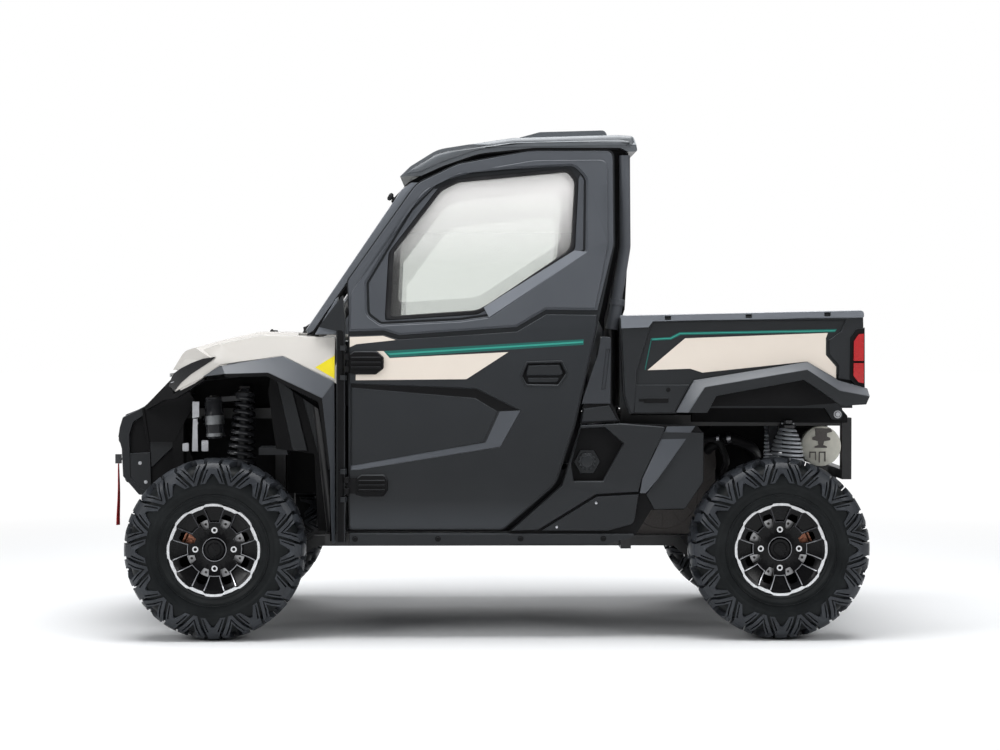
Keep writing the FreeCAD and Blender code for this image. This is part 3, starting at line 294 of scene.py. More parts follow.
# The lugs are painted lighter than the carcass: a lit copy of the same rubber, for the light the lugs catch.
lug_rubber = rubber("lug_rubber", "tyre_rubber", (0.022, 0.025, 0.030), 0.42, 0.32)
seal_rubber = rubber("seal_rubber", "grip_rubber", (0.008, 0.008, 0.009), 0.5)
frame_coat = coated("frame_coat", "dark_steel", (0.010, 0.010, 0.011), 0.42)
spring_coat = coated("spring_coat", "spring_steel", (0.024, 0.025, 0.028), 0.26)
wheel_paint = coated("wheel_paint", "wheel_alloy", (0.0028, 0.0028, 0.0034), 0.26)
wheel_paint.set(Specular_IOR_Level=0.16)
edge_alloy = metal("spoke_edge_alloy", "wheel_alloy", (0.20, 0.205, 0.215), 0.3, grain=90.0)
# Painted reflection: the spoke edges are painted bright where they face up and near black where they face
# down.
painted_highlight_share = edge_alloy.band(edge_alloy.part("Z"), -0.2, 0.35)
edge_alloy.set(Base_Color=edge_alloy.mix(painted_highlight_share, (0.05, 0.05, 0.055), (0.62, 0.63, 0.66)))
machined = metal("machined_alloy", "wheel_alloy", (0.83, 0.84, 0.86), 0.22, grain=90.0)
cast_alloy = metal("cast_alloy", "drive_alloy", (0.30, 0.31, 0.32), 0.5, grain=120.0, relief=0.3)
disc_steel = metal("disc_steel", "wheel_alloy", (0.5, 0.5, 0.51), 0.34)
caliper_coat = metal("caliper_coat", "cast_parts", (0.66, 0.27, 0.16), 0.5, 0.3)
casting = metal("rough_casting", "cast_parts", (0.13, 0.12, 0.115), 0.6, 0.8, 140.0, 0.4)
zinc = metal("zinc_plate", "drive_alloy", (0.62, 0.63, 0.66), 0.3)
shield = metal("shield_metal", "shield_metal", (0.62, 0.61, 0.54), 0.5, 0.35, 40.0, 0.2)
grey_coil = metal("grey_spring", "spring_steel", (0.56, 0.59, 0.63), 0.35, 0.3)
print("finishes with rubber and metals", len(bpy.data.materials))

# %% [markdown]
# ## Helpers for shape
# Every piece gathers closed shells in one mesh, in millimetres, for the left side of the vehicle.
# At the end the mesh is scaled to metres, mirrored where the real machine has a twin, and given
# small rounded edges by a Bevel modifier, because no moulded or welded edge is truly sharp.

# %% Sizes shared by many pieces
MM = 0.001
FRONT_AXLE, REAR_AXLE = -1085.0, 1215.0
WHEEL_HEIGHT = 369.0
WHEEL_HALF = 700.0


def placed(name, data):
    """A new object, put in the scene."""
    made = bpy.data.objects.new(name, data)
    bpy.context.scene.collection.objects.link(made)
    return made


def rounded(corners, steps=5):
    """An outline whose third numbers round its corners."""
    line = []
    count = len(corners)
    for index, corner in enumerate(corners):
        here = Vector(corner[:2])
        if len(corner) < 3:
            line.append(tuple(here))
            continue
        back = (Vector(corners[index - 1][:2]) - here)
        ahead = (Vector(corners[(index + 1) % count][:2]) - here)
        half = back.angle(ahead) / 2
        reach = min(corner[2] / math.tan(half), back.length * 0.49, ahead.length * 0.49)
        start = here + back.normalized() * reach
        end = here + ahead.normalized() * reach
        for step in range(steps + 1):
            t = step / steps
            line.append(tuple(start * (1 - t) ** 2 + here * 2 * t * (1 - t) + end * t * t))
    return line


def inset(corners, distance):
    """An outline moved inwards, corner by corner."""
    area = sum(a[0] * b[1] - b[0] * a[1] for a, b in zip(corners, corners[1:] + corners[:1]))
    turn = 1 if area > 0 else -1
    moved = []
    for index, corner in enumerate(corners):
        here = Vector(corner[:2])
        back = (here - Vector(corners[index - 1][:2])).normalized()
        ahead = (Vector(corners[(index + 1) % len(corners)][:2]) - here).normalized()
        normals = Vector((-back.y, back.x)) * turn, Vector((-ahead.y, ahead.x)) * turn
        middle = (normals[0] + normals[1])
        shift = middle / max(middle.dot(normals[0]), 0.3) * distance
        moved.append((*(here + shift), *corner[2:]))
    return moved


# %% A piece of the vehicle
class Piece:
    """Closed shells in millimetres that become one object on one body."""

    def __init__(self, name, body, finish, edge=1.5, twin=False, flip=False, corner=38):
        self.mesh = bmesh.new()
        self.name, self.body, self.finish = name, body, finish
        self.edge, self.twin, self.flip, self.corner = edge, twin, flip, corner

    def relief(self, loops, place, cuts_u=(), cuts_v=(), top_loops=None):
        """An outline with holes, thickened. place turns (u, v, share of the height) into a point."""
        work = bmesh.new()
        layers = []
        for share, shapes in ((0.0, loops), (1.0, top_loops or loops)):
            spots = [[Vector((u, v, 0)) for u, v in loop] for loop in shapes]
            layer = [[work.verts.new((p.x, p.y, share)) for p in loop] for loop in spots]
            flat = [vert for loop in layer for vert in loop]
            for a, b, c in tessellate_polygon(spots):
                work.faces.new((flat[a], flat[b], flat[c]))
            layers.append(layer)
        for low, high in zip(*layers):
            for a, b, c, d in zip(low, low[1:] + low[:1], high[1:] + high[:1], high):
                work.faces.new((a, b, c, d))
        for way, cuts in (((1, 0, 0), cuts_u), ((0, 1, 0), cuts_v)):
            for cut in cuts:
                everything = work.verts[:] + work.edges[:] + work.faces[:]
                bmesh.ops.bisect_plane(work, geom=everything, dist=1e-4, plane_co=Vector(way) * cut,
                                       plane_no=way)
        bmesh.ops.remove_doubles(work, verts=work.verts[:], dist=1e-4)
        for vert in work.verts:
            vert.co = place(vert.co.x, vert.co.y, vert.co.z)
        self._take(work)

    def panel(self, outline, outer, inner, holes=(), cuts_z=(), cuts_x=(), slope=0.0):
        """A plate seen from the side, between two distances out, its outer face drawn in by a slope."""
        def height(level, x, z):
            return level(x, z) if callable(level) else level

        def place(x, z, share):
            low, high = height(inner, x, z), height(outer, x, z)
            return Vector((x, -(low + (high - low) * share), z))

        loops = [rounded(outline)] + [rounded(hole) for hole in holes]
        top = None
        if slope:
            top = [rounded(inset(outline, slope))] + [rounded(inset(hole, -slope)) for hole in holes]
        self.relief(loops, place, cuts_x, cuts_z, top)

    def facets(self, spots, faces, depth):
        """A folded plate from named (x, out, z) corners, with a wall of some depth behind it."""
        work = bmesh.new()
        front = {key: work.verts.new((x, -out, z)) for key, (x, out, z) in spots.items()}
        back = {key: work.verts.new((x, -out + depth, z)) for key, (x, out, z) in spots.items()}
        for face in faces:
            work.faces.new([front[key] for key in face])
            work.faces.new([back[key] for key in face])
        for edge in [edge for edge in work.edges if len(edge.link_faces) == 1]:
            first, second = edge.verts
            if first in front.values():
                keys = [key for end in (first, second) for key, vert in front.items() if vert == end]
                work.faces.new((first, second, back[keys[1]], back[keys[0]]))
        bmesh.ops.delete(work, geom=[vert for vert in work.verts if not vert.link_faces], context="VERTS")
        self._take(work)

    def plate(self, outline, axis, low, high, holes=()):
        """A flat plate square to x, y or z, between two places along that axis."""
        def place(u, v, top):
            along = high if top else low
            return Vector({"x": (along, u, v), "y": (u, along, v), "z": (u, v, along)}[axis])

        self.relief([rounded(loop) for loop in (outline, *holes)], place)

    def block(self, low, high):
        """A box between two corners."""
        (x0, y0, z0), (x1, y1, z1) = low, high
        self.plate([(x0, y0), (x1, y0), (x1, y1), (x0, y1)], "z", z0, z1)

    def turned(self, profile, centre, way, sides=48):
        """A closed profile of (along, radius) turned about an axis."""
        work = bmesh.new()
        way = Vector(way).normalized()
        side = way.orthogonal().normalized()
        other = way.cross(side)
        rings = []
        for step in range(sides):
            angle = 2 * math.pi * step / sides
            out = side * math.cos(angle) + other * math.sin(angle)
            rings.append([work.verts.new(Vector(centre) + way * a + out * r) for a, r in profile])
        count = len(profile)
        for step in range(sides):
            ring, following = rings[step], rings[(step + 1) % sides]
            for index in range(count):
                ahead = (index + 1) % count
                if profile[index][1] < 1e-6 and profile[ahead][1] < 1e-6:
                    continue
                work.faces.new((ring[index], ring[ahead], following[ahead], following[index]))
        bmesh.ops.remove_doubles(work, verts=work.verts[:], dist=1e-4)
        bmesh.ops.dissolve_degenerate(work, edges=work.edges[:], dist=1e-5)
        self._take(work)

    def rod(self, start, end, radius, sides=24, end_radius=None):
        """A round bar between two points, plain or tapered."""
        run = Vector(end) - Vector(start)
        last = radius if end_radius is None else end_radius
        self.turned([(0, 0), (0, radius), (run.length, last), (run.length, 0)], start, run, sides)

    def bar(self, start, end, wide, high=None):
        """A bar of rectangular section between two points."""
        start, end = Vector(start), Vector(end)
        run = (end - start).normalized()
        across = Vector((0, 1, 0)) if abs(run.y) < 0.7 else Vector((1, 0, 0))
        up = run.cross(across).normalized()
        across = up.cross(run).normalized()
        h, w = (high or wide) / 2, wide / 2
        work = bmesh.new()
        ends = []
        for point in (start, end):
            ends.append([work.verts.new(point + across * a * w + up * b * h)
                         for a, b in ((1, 1), (-1, 1), (-1, -1), (1, -1))])
        for a, b, c, d in zip(ends[0], ends[0][1:] + ends[0][:1], ends[1][1:] + ends[1][:1], ends[1]):
            work.faces.new((a, b, c, d))
        work.faces.new(ends[0])
        work.faces.new(ends[1])
        self._take(work)

    def pipe(self, points, radius, bend=60, sides=20):
        """A bent tube along corners, each rounded by an arc."""
        line = []
        spots = [Vector(point) for point in points]
        for index, here in enumerate(spots):
            if index in (0, len(spots) - 1):
                line.append(here)
                continue
            back, ahead = spots[index - 1] - here, spots[index + 1] - here
            half = back.angle(ahead) / 2
            reach = min(bend / math.tan(half), back.length * 0.49, ahead.length * 0.49)
            start, end = here + back.normalized() * reach, here + ahead.normalized() * reach
            for step in range(9):
                t = step / 8
                line.append(start * (1 - t) ** 2 + here * 2 * t * (1 - t) + end * t * t)
        work = bmesh.new()
        side = (line[1] - line[0]).orthogonal().normalized()
        rings = []
        for index, here in enumerate(line):
            way = (line[min(index + 1, len(line) - 1)] - line[max(index - 1, 0)]).normalized()
            side = (side - way * side.dot(way)).normalized()
            other = way.cross(side)
            ring = []
            for step in range(sides):
                angle = 2 * math.pi * step / sides
                out = side * math.cos(angle) + other * math.sin(angle)
                ring.append(work.verts.new(here + out * radius))
            rings.append(ring)
        for ring, following in zip(rings, rings[1:]):
            for a, b, c, d in zip(ring, ring[1:] + ring[:1], following[1:] + following[:1], following):
                work.faces.new((a, b, c, d))
        work.faces.new(rings[0])
        work.faces.new(rings[-1])
        self._take(work)

    def bolt(self, centre, way, radius=7.0, high=5.0):
        """A hexagon head on a washer."""
        way = Vector(way).normalized()
        self.turned([(0, 0), (0, radius * 1.5), (high * 0.3, radius * 1.5), (high * 0.3, 0)], centre, way, 20)
        head = Vector(centre) + way * high * 0.3
        self.turned([(0, 0), (0, radius), (high * 0.7, radius * 0.96), (high * 0.7, 0)], head, way, 6)

    def _take(self, work):
        """Add a closed shell with its faces turned outwards."""
        bmesh.ops.recalc_face_normals(work, faces=work.faces[:])
        lump = bpy.data.meshes.new("lump")
        work.to_mesh(lump)
        work.free()
        self.mesh.from_mesh(lump)
        bpy.data.meshes.remove(lump)

    def done(self, replaces=(), smooth=True):
        """Turn what was gathered into an object on its body."""
        mesh = bpy.data.meshes.new(self.name)
        if self.twin:
            copy = bmesh.ops.duplicate(self.mesh, geom=self.mesh.verts[:] + self.mesh.faces[:])["geom"]
            for item in copy:
                if isinstance(item, bmesh.types.BMVert):
                    item.co.y = -item.co.y
            faces = [item for item in copy if isinstance(item, bmesh.types.BMFace)]
            bmesh.ops.reverse_faces(self.mesh, faces=faces)
        if self.flip:
            for vert in self.mesh.verts:
                vert.co.y = -vert.co.y
            bmesh.ops.reverse_faces(self.mesh, faces=self.mesh.faces[:])
        bmesh.ops.scale(self.mesh, vec=(MM, MM, MM), verts=self.mesh.verts[:])
        self.mesh.to_mesh(mesh)
        self.mesh.free()
        return dress(mesh, self, replaces, smooth)


def dress(mesh, piece, replaces=(), smooth=True):
    """Make the object, round its edges, and seat it on its body."""
    made = placed(piece.name, mesh)
    mesh.materials.clear()
    mesh.materials.append(piece.finish.material)
    if smooth:
        mesh.polygons.foreach_set("use_smooth", [True] * len(mesh.polygons))
        mesh.set_sharp_from_angle(angle=math.radians(piece.corner))
    if piece.edge:
        rounding = made.modifiers.new("rounded_edges", "BEVEL")
        rounding.width = piece.edge * MM
        rounding.segments = 2
        rounding.limit_method = "ANGLE"
        rounding.angle_limit = math.radians(piece.corner)
        rounding.harden_normals = smooth
    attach(made, piece.body)
    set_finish(made, piece.finish.slot)
    if replaces:
        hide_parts(*replaces)
    return made


def pair(name, finish, edge, body="chassis", corner=38):
    """A piece with its twin on the other side."""
    return Piece(name, body, finish, edge, twin=True, corner=corner)


def wear_finish(finish, *nodes):
    """Give solids that stay in view a finish."""
    for node in nodes:
        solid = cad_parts[node]
        solid.data.materials.clear()
        solid.data.materials.append(finish.material)
        if "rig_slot" not in solid:
            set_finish(solid, finish.slot)


# %% [markdown]
# ## Things that repeat
# Lugs round a tyre, windows round a wheel, ribs round a filler cap and the turns of a spring all follow a
# rule, so Geometry Nodes make them. A small class builds such a tree in code, with named inputs.

# %% Geometry trees
class Tree:
    """A geometry tree under construction, with named inputs for its sizes."""

    def __init__(self, name, **sizes):
        self.group = bpy.data.node_groups.new(name, "GeometryNodeTree")
        sockets = self.group.interface
        sockets.new_socket(name="Geometry", in_out="OUTPUT", socket_type="NodeSocketGeometry")
        self.keys = {}
        for label, kind in sizes.items():
            made = sockets.new_socket(name=label, in_out="INPUT", socket_type="NodeSocket" + kind)
            self.keys[label] = made.identifier
        self.given = self.group.nodes.new("NodeGroupInput").outputs

    def node(self, kind, settings=(), **sockets):
        """A node with its settings made first, then its sockets."""
        made = self.group.nodes.new(kind)
        for name, value in dict(settings).items():
            setattr(made, name, value)
        for name, value in sockets.items():
            self.feed(made.inputs[name.replace("_", " ")], value)
        return made

    def feed(self, entry, value):
        """Give a socket a value, or link it to one."""
        if isinstance(value, bpy.types.NodeSocket):
            self.group.links.new(value, entry)
        else:
            entry.default_value = value

    def maths(self, operation, first, second):
        """What two sockets or values make together."""
        made = self.node("ShaderNodeMath", {"operation": operation})
        self.feed(made.inputs[0], first)
        self.feed(made.inputs[1], second)
        return made.outputs[0]

    def close(self, geometry):
        """End in real geometry with its material."""
        real = self.node("GeometryNodeRealizeInstances", Geometry=geometry).outputs[0]
        painted_mesh = self.node("GeometryNodeSetMaterial", Geometry=real, Material=self.given["Finish"])
        out = self.group.nodes.new("NodeGroupOutput")
        self.group.links.new(painted_mesh.outputs[0], out.inputs[0])

    def grow(self, finish, **sizes):
        """The plain mesh that the tree makes with these sizes."""
        carrier = placed("carrier", bpy.data.meshes.new("carrier"))
        modifier = carrier.modifiers.new("grow", "NODES")
        modifier.node_group = self.group
        for label, value in {"Finish": finish.material, **sizes}.items():
            modifier[self.keys[label]] = value
        bpy.context.view_layer.update()
        seen = carrier.evaluated_get(bpy.context.evaluated_depsgraph_get())
        mesh = bpy.data.meshes.new_from_object(seen)
        bpy.data.objects.remove(carrier)
        return mesh


def around_tree():
    """Copies of a sector, turned evenly round the Y axis."""
    tree = Tree("around_an_axle", Sector="Object", Count="Int", Finish="Material")
    count = tree.given["Count"]
    sector = tree.node("GeometryNodeObjectInfo", Object=tree.given["Sector"]).outputs["Geometry"]
    spots = tree.node("GeometryNodePoints", Count=count).outputs[0]
    index = tree.node("GeometryNodeInputIndex").outputs[0]
    angle = tree.maths("MULTIPLY", tree.maths("DIVIDE", index, count), 2 * math.pi)
    turn = tree.node("ShaderNodeCombineXYZ", Y=angle).outputs[0]
    rotation = tree.node("FunctionNodeEulerToRotation", Euler=turn).outputs[0]
    copies = tree.node("GeometryNodeInstanceOnPoints", Points=spots, Instance=sector, Rotation=rotation)
    tree.close(copies.outputs[0])
    return tree


def coil_tree():
    """A round wire wound into a spring that stands on the Z axis."""
    tree = Tree("coil_spring", Radius="Float", Height="Float", Turns="Float", Wire="Float", Finish="Material")
    given = tree.given
    line = tree.node("GeometryNodeCurveSpiral", Resolution=40, Rotations=given["Turns"],
                     Start_Radius=given["Radius"], End_Radius=given["Radius"], Height=given["Height"])
    ring = tree.node("GeometryNodeCurvePrimitiveCircle", Resolution=10, Radius=given["Wire"])
    wire = tree.node("GeometryNodeCurveToMesh", Curve=line.outputs[0], Profile_Curve=ring.outputs[0],
                     Fill_Caps=True)
    tree.close(wire.outputs[0])
    return tree


around = around_tree()
coil = coil_tree()


def repeated(sector, count, finish):
    """A piece's own mesh as one sector, repeated round the Y axis."""
    mesh = bpy.data.meshes.new("sector")
    sector.to_mesh(mesh)
    holder = placed("sector", mesh)
    grown = around.grow(finish, Sector=holder, Count=count)
    bpy.data.objects.remove(holder)
    return grown


# %% [markdown]
# ## Tyres
# A 29 inch off-road tyre has a rounded carcass and two rows of tall shoulder lugs. Seen from the
# side they alternate: an arch with its feet towards the rim, then a V with its point towards the
# rim, every 30 degrees. The lugs are drawn flat, as angle against distance from the tread's
# middle line, and then laid over the carcass, so that they bend over the shoulder as the rubber does.

# %% The carcass and its section
TYRE_SECTION = [
    (88, 178.5), (89, 186), (95, 188), (102, 191), (105.5, 196), (104.5, 201), (110, 209), (114, 215),
    (113.6, 218), (118, 231), (121.5, 248), (122, 253), (123.6, 255), (124.4, 268), (123.8, 282),
    (121, 297), (116, 311), (108, 323), (97, 333), (82, 340), (60, 344.5), (30, 346.6), (0, 347.3),
]
TREAD_LINE = [(0, 347), (60, 344), (88, 337), (104, 326), (115, 311), (121, 295), (123.6, 278), (124, 262)]


def on_tread(distance):
    """The point and the outward way at a distance from the middle of the tread."""
    left = distance
    for (y0, r0), (y1, r1) in zip(TREAD_LINE, TREAD_LINE[1:]):
        run = math.hypot(y1 - y0, r1 - r0)
        if left <= run or (y1, r1) == TREAD_LINE[-1]:
            share = left / run
            return (y0 + (y1 - y0) * share, r0 + (r1 - r0) * share), ((r0 - r1) / run, (y1 - y0) / run)
        left -= run


def lug_height(distance):
    """Full height on the tread, fading down the sidewall."""
    return 22.5 if distance < 84 else max(5.0, 22.5 - (distance - 84) * 0.245)


def lug_place(side):
    """A lug's angle and distance from the tread's middle to a point on one side of the tyre."""
    def place(angle, distance, top):
        distance = max(distance, 0.0)
        (y, radius), (out_y, out_r) = on_tread(distance)
        if distance < 96:
            out_y, out_r = out_y * distance / 96, 1.0
        rise = lug_height(distance) if top else -5.0
        length = math.hypot(out_y, out_r)
        y, radius = y + out_y / length * rise, min(radius + out_r / length * rise, WHEEL_HEIGHT)
        turn = math.radians(angle)
        return Vector((radius * math.sin(turn), side * y, radius * math.cos(turn)))
    return place


LUG_ARCH = [(-3.6, 92), (3.6, 92), (5.0, 112), (10.4, 166), (6.0, 166), (0.9, 130), (-0.9, 130), (-6.0, 166),
            (-10.4, 166), (-5.0, 112)]
LUG_ARCH_TREAD = [(-3.6, 91), (-4.4, 60), (-1.6, 12), (2.8, 8), (3.4, 40), (4.4, 62), (3.6, 91)]
LUG_VEE = [(13.3, 168), (16.7, 168), (21.6, 122), (24.9, 95), (19.4, 95), (15, 138), (10.6, 95), (5.1, 95),
           (8.4, 122)]
LUG_VEE_TREAD = [(5.9, 94), (6.4, 62), (10.2, 38), (14.6, 34), (12.4, 60), (10.4, 94)]
LUG_VEE_OTHER = [(19.6, 94), (18.2, 62), (17.4, 36), (22.0, 30), (23.8, 60), (24.1, 94)]
LUG_CENTRE = [(8.0, 4), (14.4, 2), (16.2, 22), (9.8, 26)]
ARCH_GROOVES = [[(-2.9, 114), (-4.0, 114), (-8.8, 161), (-7.6, 161)],
                [(2.9, 114), (7.6, 161), (8.8, 161), (4.0, 114)]]
VEE_GROOVE = [(8.1, 98), (11.4, 126), (15, 157), (18.6, 126), (21.9, 98), (20.8, 98), (17.4, 125),
              (15, 148.5), (12.6, 125), (9.2, 98)]


def lug_ring():
    """All lugs of one tyre about the Y axis, in millimetres, outer side at -Y."""
    sector = Piece("lugs", "chassis", lug_rubber)
    for side, shift in ((LEFT, 0), (RIGHT, 15)):
        for loops in ([LUG_ARCH, *ARCH_GROOVES], [LUG_ARCH_TREAD], [LUG_VEE, VEE_GROOVE], [LUG_VEE_TREAD],
                      [LUG_VEE_OTHER], [LUG_CENTRE]):
            moved = [[(angle + shift, distance) for angle, distance in loop] for loop in loops]
            cuts = [shift + step * 3.0 for step in range(-4, 10)]
            sector.relief(moved, lug_place(side), cuts, [30, 60, 84, 100, 115, 130, 145, 158])
    return repeated(sector.mesh, 12, lug_rubber)


LEFT, RIGHT = -1, 1
WHEELS = [("front_left", FRONT_AXLE, LEFT), ("front_right", FRONT_AXLE, RIGHT),
          ("rear_left", REAR_AXLE, LEFT), ("rear_right", REAR_AXLE, RIGHT)]
lugs = lug_ring()
print("lug faces", len(lugs.polygons))


def set_on_axle(piece, x, replaces=()):
    """Move a piece made about the origin out to its wheel, on the left, and finish it."""
    for vert in piece.mesh.verts:
        vert.co += Vector((x, -WHEEL_HALF, WHEEL_HEIGHT))
    piece.done(replaces)


for name, axle, side in WHEELS:
    tyre = Piece("tyre_" + name + "_rubber", "wheel_" + name, tyre_rubber, 1.6, flip=side == RIGHT)
    loop = TYRE_SECTION + [(-y, r) for y, r in reversed(TYRE_SECTION[:-1])]
    tyre.turned(loop, (0, 0, 0), (0, 1, 0), 96)
    for radius, proud in ((243, 1.2), (226, 1.6)):
        ring = [(117 + proud, radius - 2), (120 + proud, radius), (117 + proud, radius + 2), (114, radius)]
        tyre.turned(ring, (0, 0, 0), (0, -1, 0), 96)
    set_on_axle(tyre, axle, ("tyre_" + name,))
    tread = Piece("tyre_" + name + "_lugs", "wheel_" + name, lug_rubber, 1.4, flip=side == RIGHT)
    tread.mesh.from_mesh(lugs)
    set_on_axle(tread, axle, ("tyre_" + name,))

# %% [markdown]
# ## Wheels
# The alloy wheels are gloss black with a machined lip, whose inner line steps in at each of eight
# spokes. Eight small windows show the hub and brake behind. The spokes' edges are machined too.
# One eighth is modelled in angle and radius, and repeated.

# %% Wheel face
FACE_LINE = [(40, 60), (64, 52), (96, 54), (130, 64), (160, 76), (182, 92)]


def face_depth(radius):
    """How far the wheel's face stands out from the wheel's middle plane."""
    for (r0, y0), (r1, y1) in zip(FACE_LINE, FACE_LINE[1:]):
        if radius <= r1:
            return y0 + (y1 - y0) * max(0.0, radius - r0) / (r1 - r0)
    return FACE_LINE[-1][1]


def disc_place(proud, depth, flat=None):
    """Angle and radius to a point on the face, outer side at -Y."""
    def place(angle, radius, top):
        turn = math.radians(angle)
        out = (face_depth(radius) if flat is None else flat) + (proud if top else -depth)
        return Vector((radius * math.sin(turn), -out, radius * math.cos(turn)))
    return place


SPOKE_WINDOW = [(16.0, 86), (29.0, 86), (32.1, 108), (31.6, 134), (28.0, 150), (17.0, 150),
                (13.4, 134), (12.9, 108)]
SPOKE_POCKET = [(-9.0, 112), (9.0, 112), (12.4, 166), (-12.4, 166)]
SPOKE_LINE = [(-14.6, 171), (-11.0, 108.5), (11.0, 108.5), (14.6, 171), (13.2, 171), (9.5, 111.2),
              (-9.5, 111.2), (-13.2, 171)]
LIP_STEP = [(-16.5, 184), (-12.4, 184), (-9.6, 188.5), (9.6, 188.5), (12.4, 184), (28.5, 184), (28.5, 171.5),
            (15.4, 171.5), (11.8, 178.5), (-11.8, 178.5), (-15.4, 171.5), (-16.5, 171.5)]
LOBE = [(14.0, 82), (31.0, 82), (32.4, 96), (31.4, 121), (13.6, 121), (12.6, 96)]
LOBE_HOLE = [(22.5 + 3.1 * math.sin(math.radians(36 * step)), 106 + 5.8 * math.cos(math.radians(36 * step)))
             for step in range(10)]
LUG_NUTS = 4


def face_sector(name, shapes, finish, place, cuts_r=(), count=8):
    """One eighth of the wheel's face in angle and radius, repeated."""
    sector = Piece(name, "chassis", finish)
    cuts = [-16.875 + 3.75 * step for step in range(14)]
    sector.relief(shapes, place, cuts, cuts_r)
    return repeated(sector.mesh, count, finish)


EIGHTH = [(-12.7, 44), (32.3, 44), (32.3, 184), (-12.7, 184)]
face_rings = {
    "wheel_face": face_sector("face", [EIGHTH, SPOKE_WINDOW, SPOKE_POCKET], wheel_paint, disc_place(0, 14),
                              (64, 96, 130, 150, 166)),
    "pocket_floor": face_sector("floor", [[(-9.4, 110), (9.4, 110), (12.9, 168), (-12.9, 168)]], wheel_paint,
                                disc_place(-8, 13), (130, 150)),
    "spoke_edges": face_sector("edges", [SPOKE_LINE], edge_alloy, disc_place(0.7, 2), (130, 150)),
    "machined_lip": face_sector("lip", [LIP_STEP], machined, disc_place(0, 6, 97.5)),
    "lobes": face_sector("lobes", [LOBE, LOBE_HOLE], disc_steel, disc_place(9, -5, 0)),
}
print({name: len(mesh.polygons) for name, mesh in face_rings.items()})

# %% Barrel, hub, nuts and brake
BARREL = [(96, 189.5), (97, 187), (96, 183), (86, 178), (66, 166), (-60, 160), (-82, 170), (-96, 177),
          (-96, 189.5), (-89, 189.5), (-88, 178.2), (88, 178.2), (89, 189.5)]
HUB_RING = [(62, 0), (62, 25), (66, 29), (67, 39), (62, 43), (50, 46), (40, 46), (40, 0)]
DISC = [(-2, 44), (-2, 122), (5, 122), (5, 44)]
for name, axle, side in WHEELS:
    body = "wheel_" + name
    alloy = Piece("rim_" + name + "_alloy", body, wheel_paint, 1.0, flip=side == RIGHT)
    out = (0, -1, 0)
    alloy.turned(BARREL, (0, 0, 0), out, 96)
    alloy.turned(HUB_RING, (0, 0, 0), out, 40)
    alloy.turned([(-52, 146), (-52, 163), (-46, 163), (-46, 146)], (0, 0, 0), out, 64)
    alloy.turned([(-8, 0), (-8, 62), (46, 52), (46, 0)], (0, 0, 0), out, 40)
    alloy.mesh.from_mesh(face_rings["wheel_face"])
    alloy.mesh.from_mesh(face_rings["pocket_floor"])
    set_on_axle(alloy, axle, ("rim_" + name,))
    bright = Piece("rim_" + name + "_machined", body, machined, 0.4, flip=side == RIGHT)
    bright.mesh.from_mesh(face_rings["machined_lip"])
    for nut in range(LUG_NUTS):
        angle = math.radians(90 * nut)
        spot = (78 * math.sin(angle), 0, 78 * math.cos(angle))
        bright.turned([(50, 6), (50, 13.5), (57, 13.5), (58.5, 12.4), (58.5, 7), (57, 6)], spot, out, 28)
    set_on_axle(bright, axle)
    edges = Piece("rim_" + name + "_spoke_edges", body, edge_alloy, 0.3, flip=side == RIGHT)
    edges.mesh.from_mesh(face_rings["spoke_edges"])
    edges.turned([(60, 46.5), (63.2, 46.5), (63.2, 49), (60, 49)], (0, 0, 0), out, 48)
    set_on_axle(edges, axle)
    disc = Piece("brake_disc_" + name, body, casting, 0.6, flip=side == RIGHT)
    disc.turned(DISC, (0, 0, 0), out, 64)
    set_on_axle(disc, axle)
    lobes = Piece("brake_lobes_" + name, body, disc_steel, 0.5, flip=side == RIGHT)
    lobes.mesh.from_mesh(face_rings["lobes"])
    set_on_axle(lobes, axle)
    held_by = {"front_left": "knuckle_left", "front_right": "knuckle_right"}.get(name, "chassis")
    guard = Piece("brake_dust_shield_" + name, held_by, shadow_plastic, 0.6, flip=side == RIGHT)
    guard.turned([(-34, 46), (-34, 150), (-26, 152), (-26, 149), (-31, 147), (-31, 46)], (0, 0, 0), out, 64)
    set_on_axle(guard, axle)
    caliper = Piece("brake_caliper_" + name, held_by, caliper_coat, 2.0, flip=side == RIGHT)
    lean = -66 if axle == FRONT_AXLE else 66
    pad_shape = [(lean - 17, 84), (lean + 17, 84), (lean + 16, 136), (lean - 16, 136)]
    caliper.relief([pad_shape], disc_place(24, -10, 0))
    caliper.relief([pad_shape], disc_place(-6, 24, 0))
    bridge = [(lean - 14, 125), (lean + 14, 125), (lean + 13, 140), (lean - 13, 140)]
    caliper.relief([bridge], disc_place(24, 24, 0))
    for step in (-8, 8):
        angle = math.radians(lean + step)
        spot = (106 * math.sin(angle), 0, 106 * math.cos(angle))
        caliper.turned([(20, 0), (20, 13), (28, 12), (30, 6), (30, 0)], spot, out, 24)
    set_on_axle(caliper, axle)
print("wheels dressed", len(WHEELS))

# %% [markdown]
# ## Camera, floor and light
# The picture was taken from well to the left with a long lens, at about the height of the hood, so
# the machine is seen almost square on. A pale round floor fades to white far out, so that it meets
# a white room on every side, and big soft lamps above and to the sides give the plastic its broad
# highlights. The room itself gives little light, which keeps the wheel wells dark.

# %% Camera
lens = bpy.data.cameras.new("photo_view")
lens.lens = 83.0
lens.sensor_width = 36.0
lens.clip_end = 200.0
eye = placed("photo_view", lens)
eye.location = (-0.067, -10.120, 1.254)
eye.rotation_euler = (math.radians(88.917), 0, math.radians(-0.865))
bpy.context.scene.camera = eye

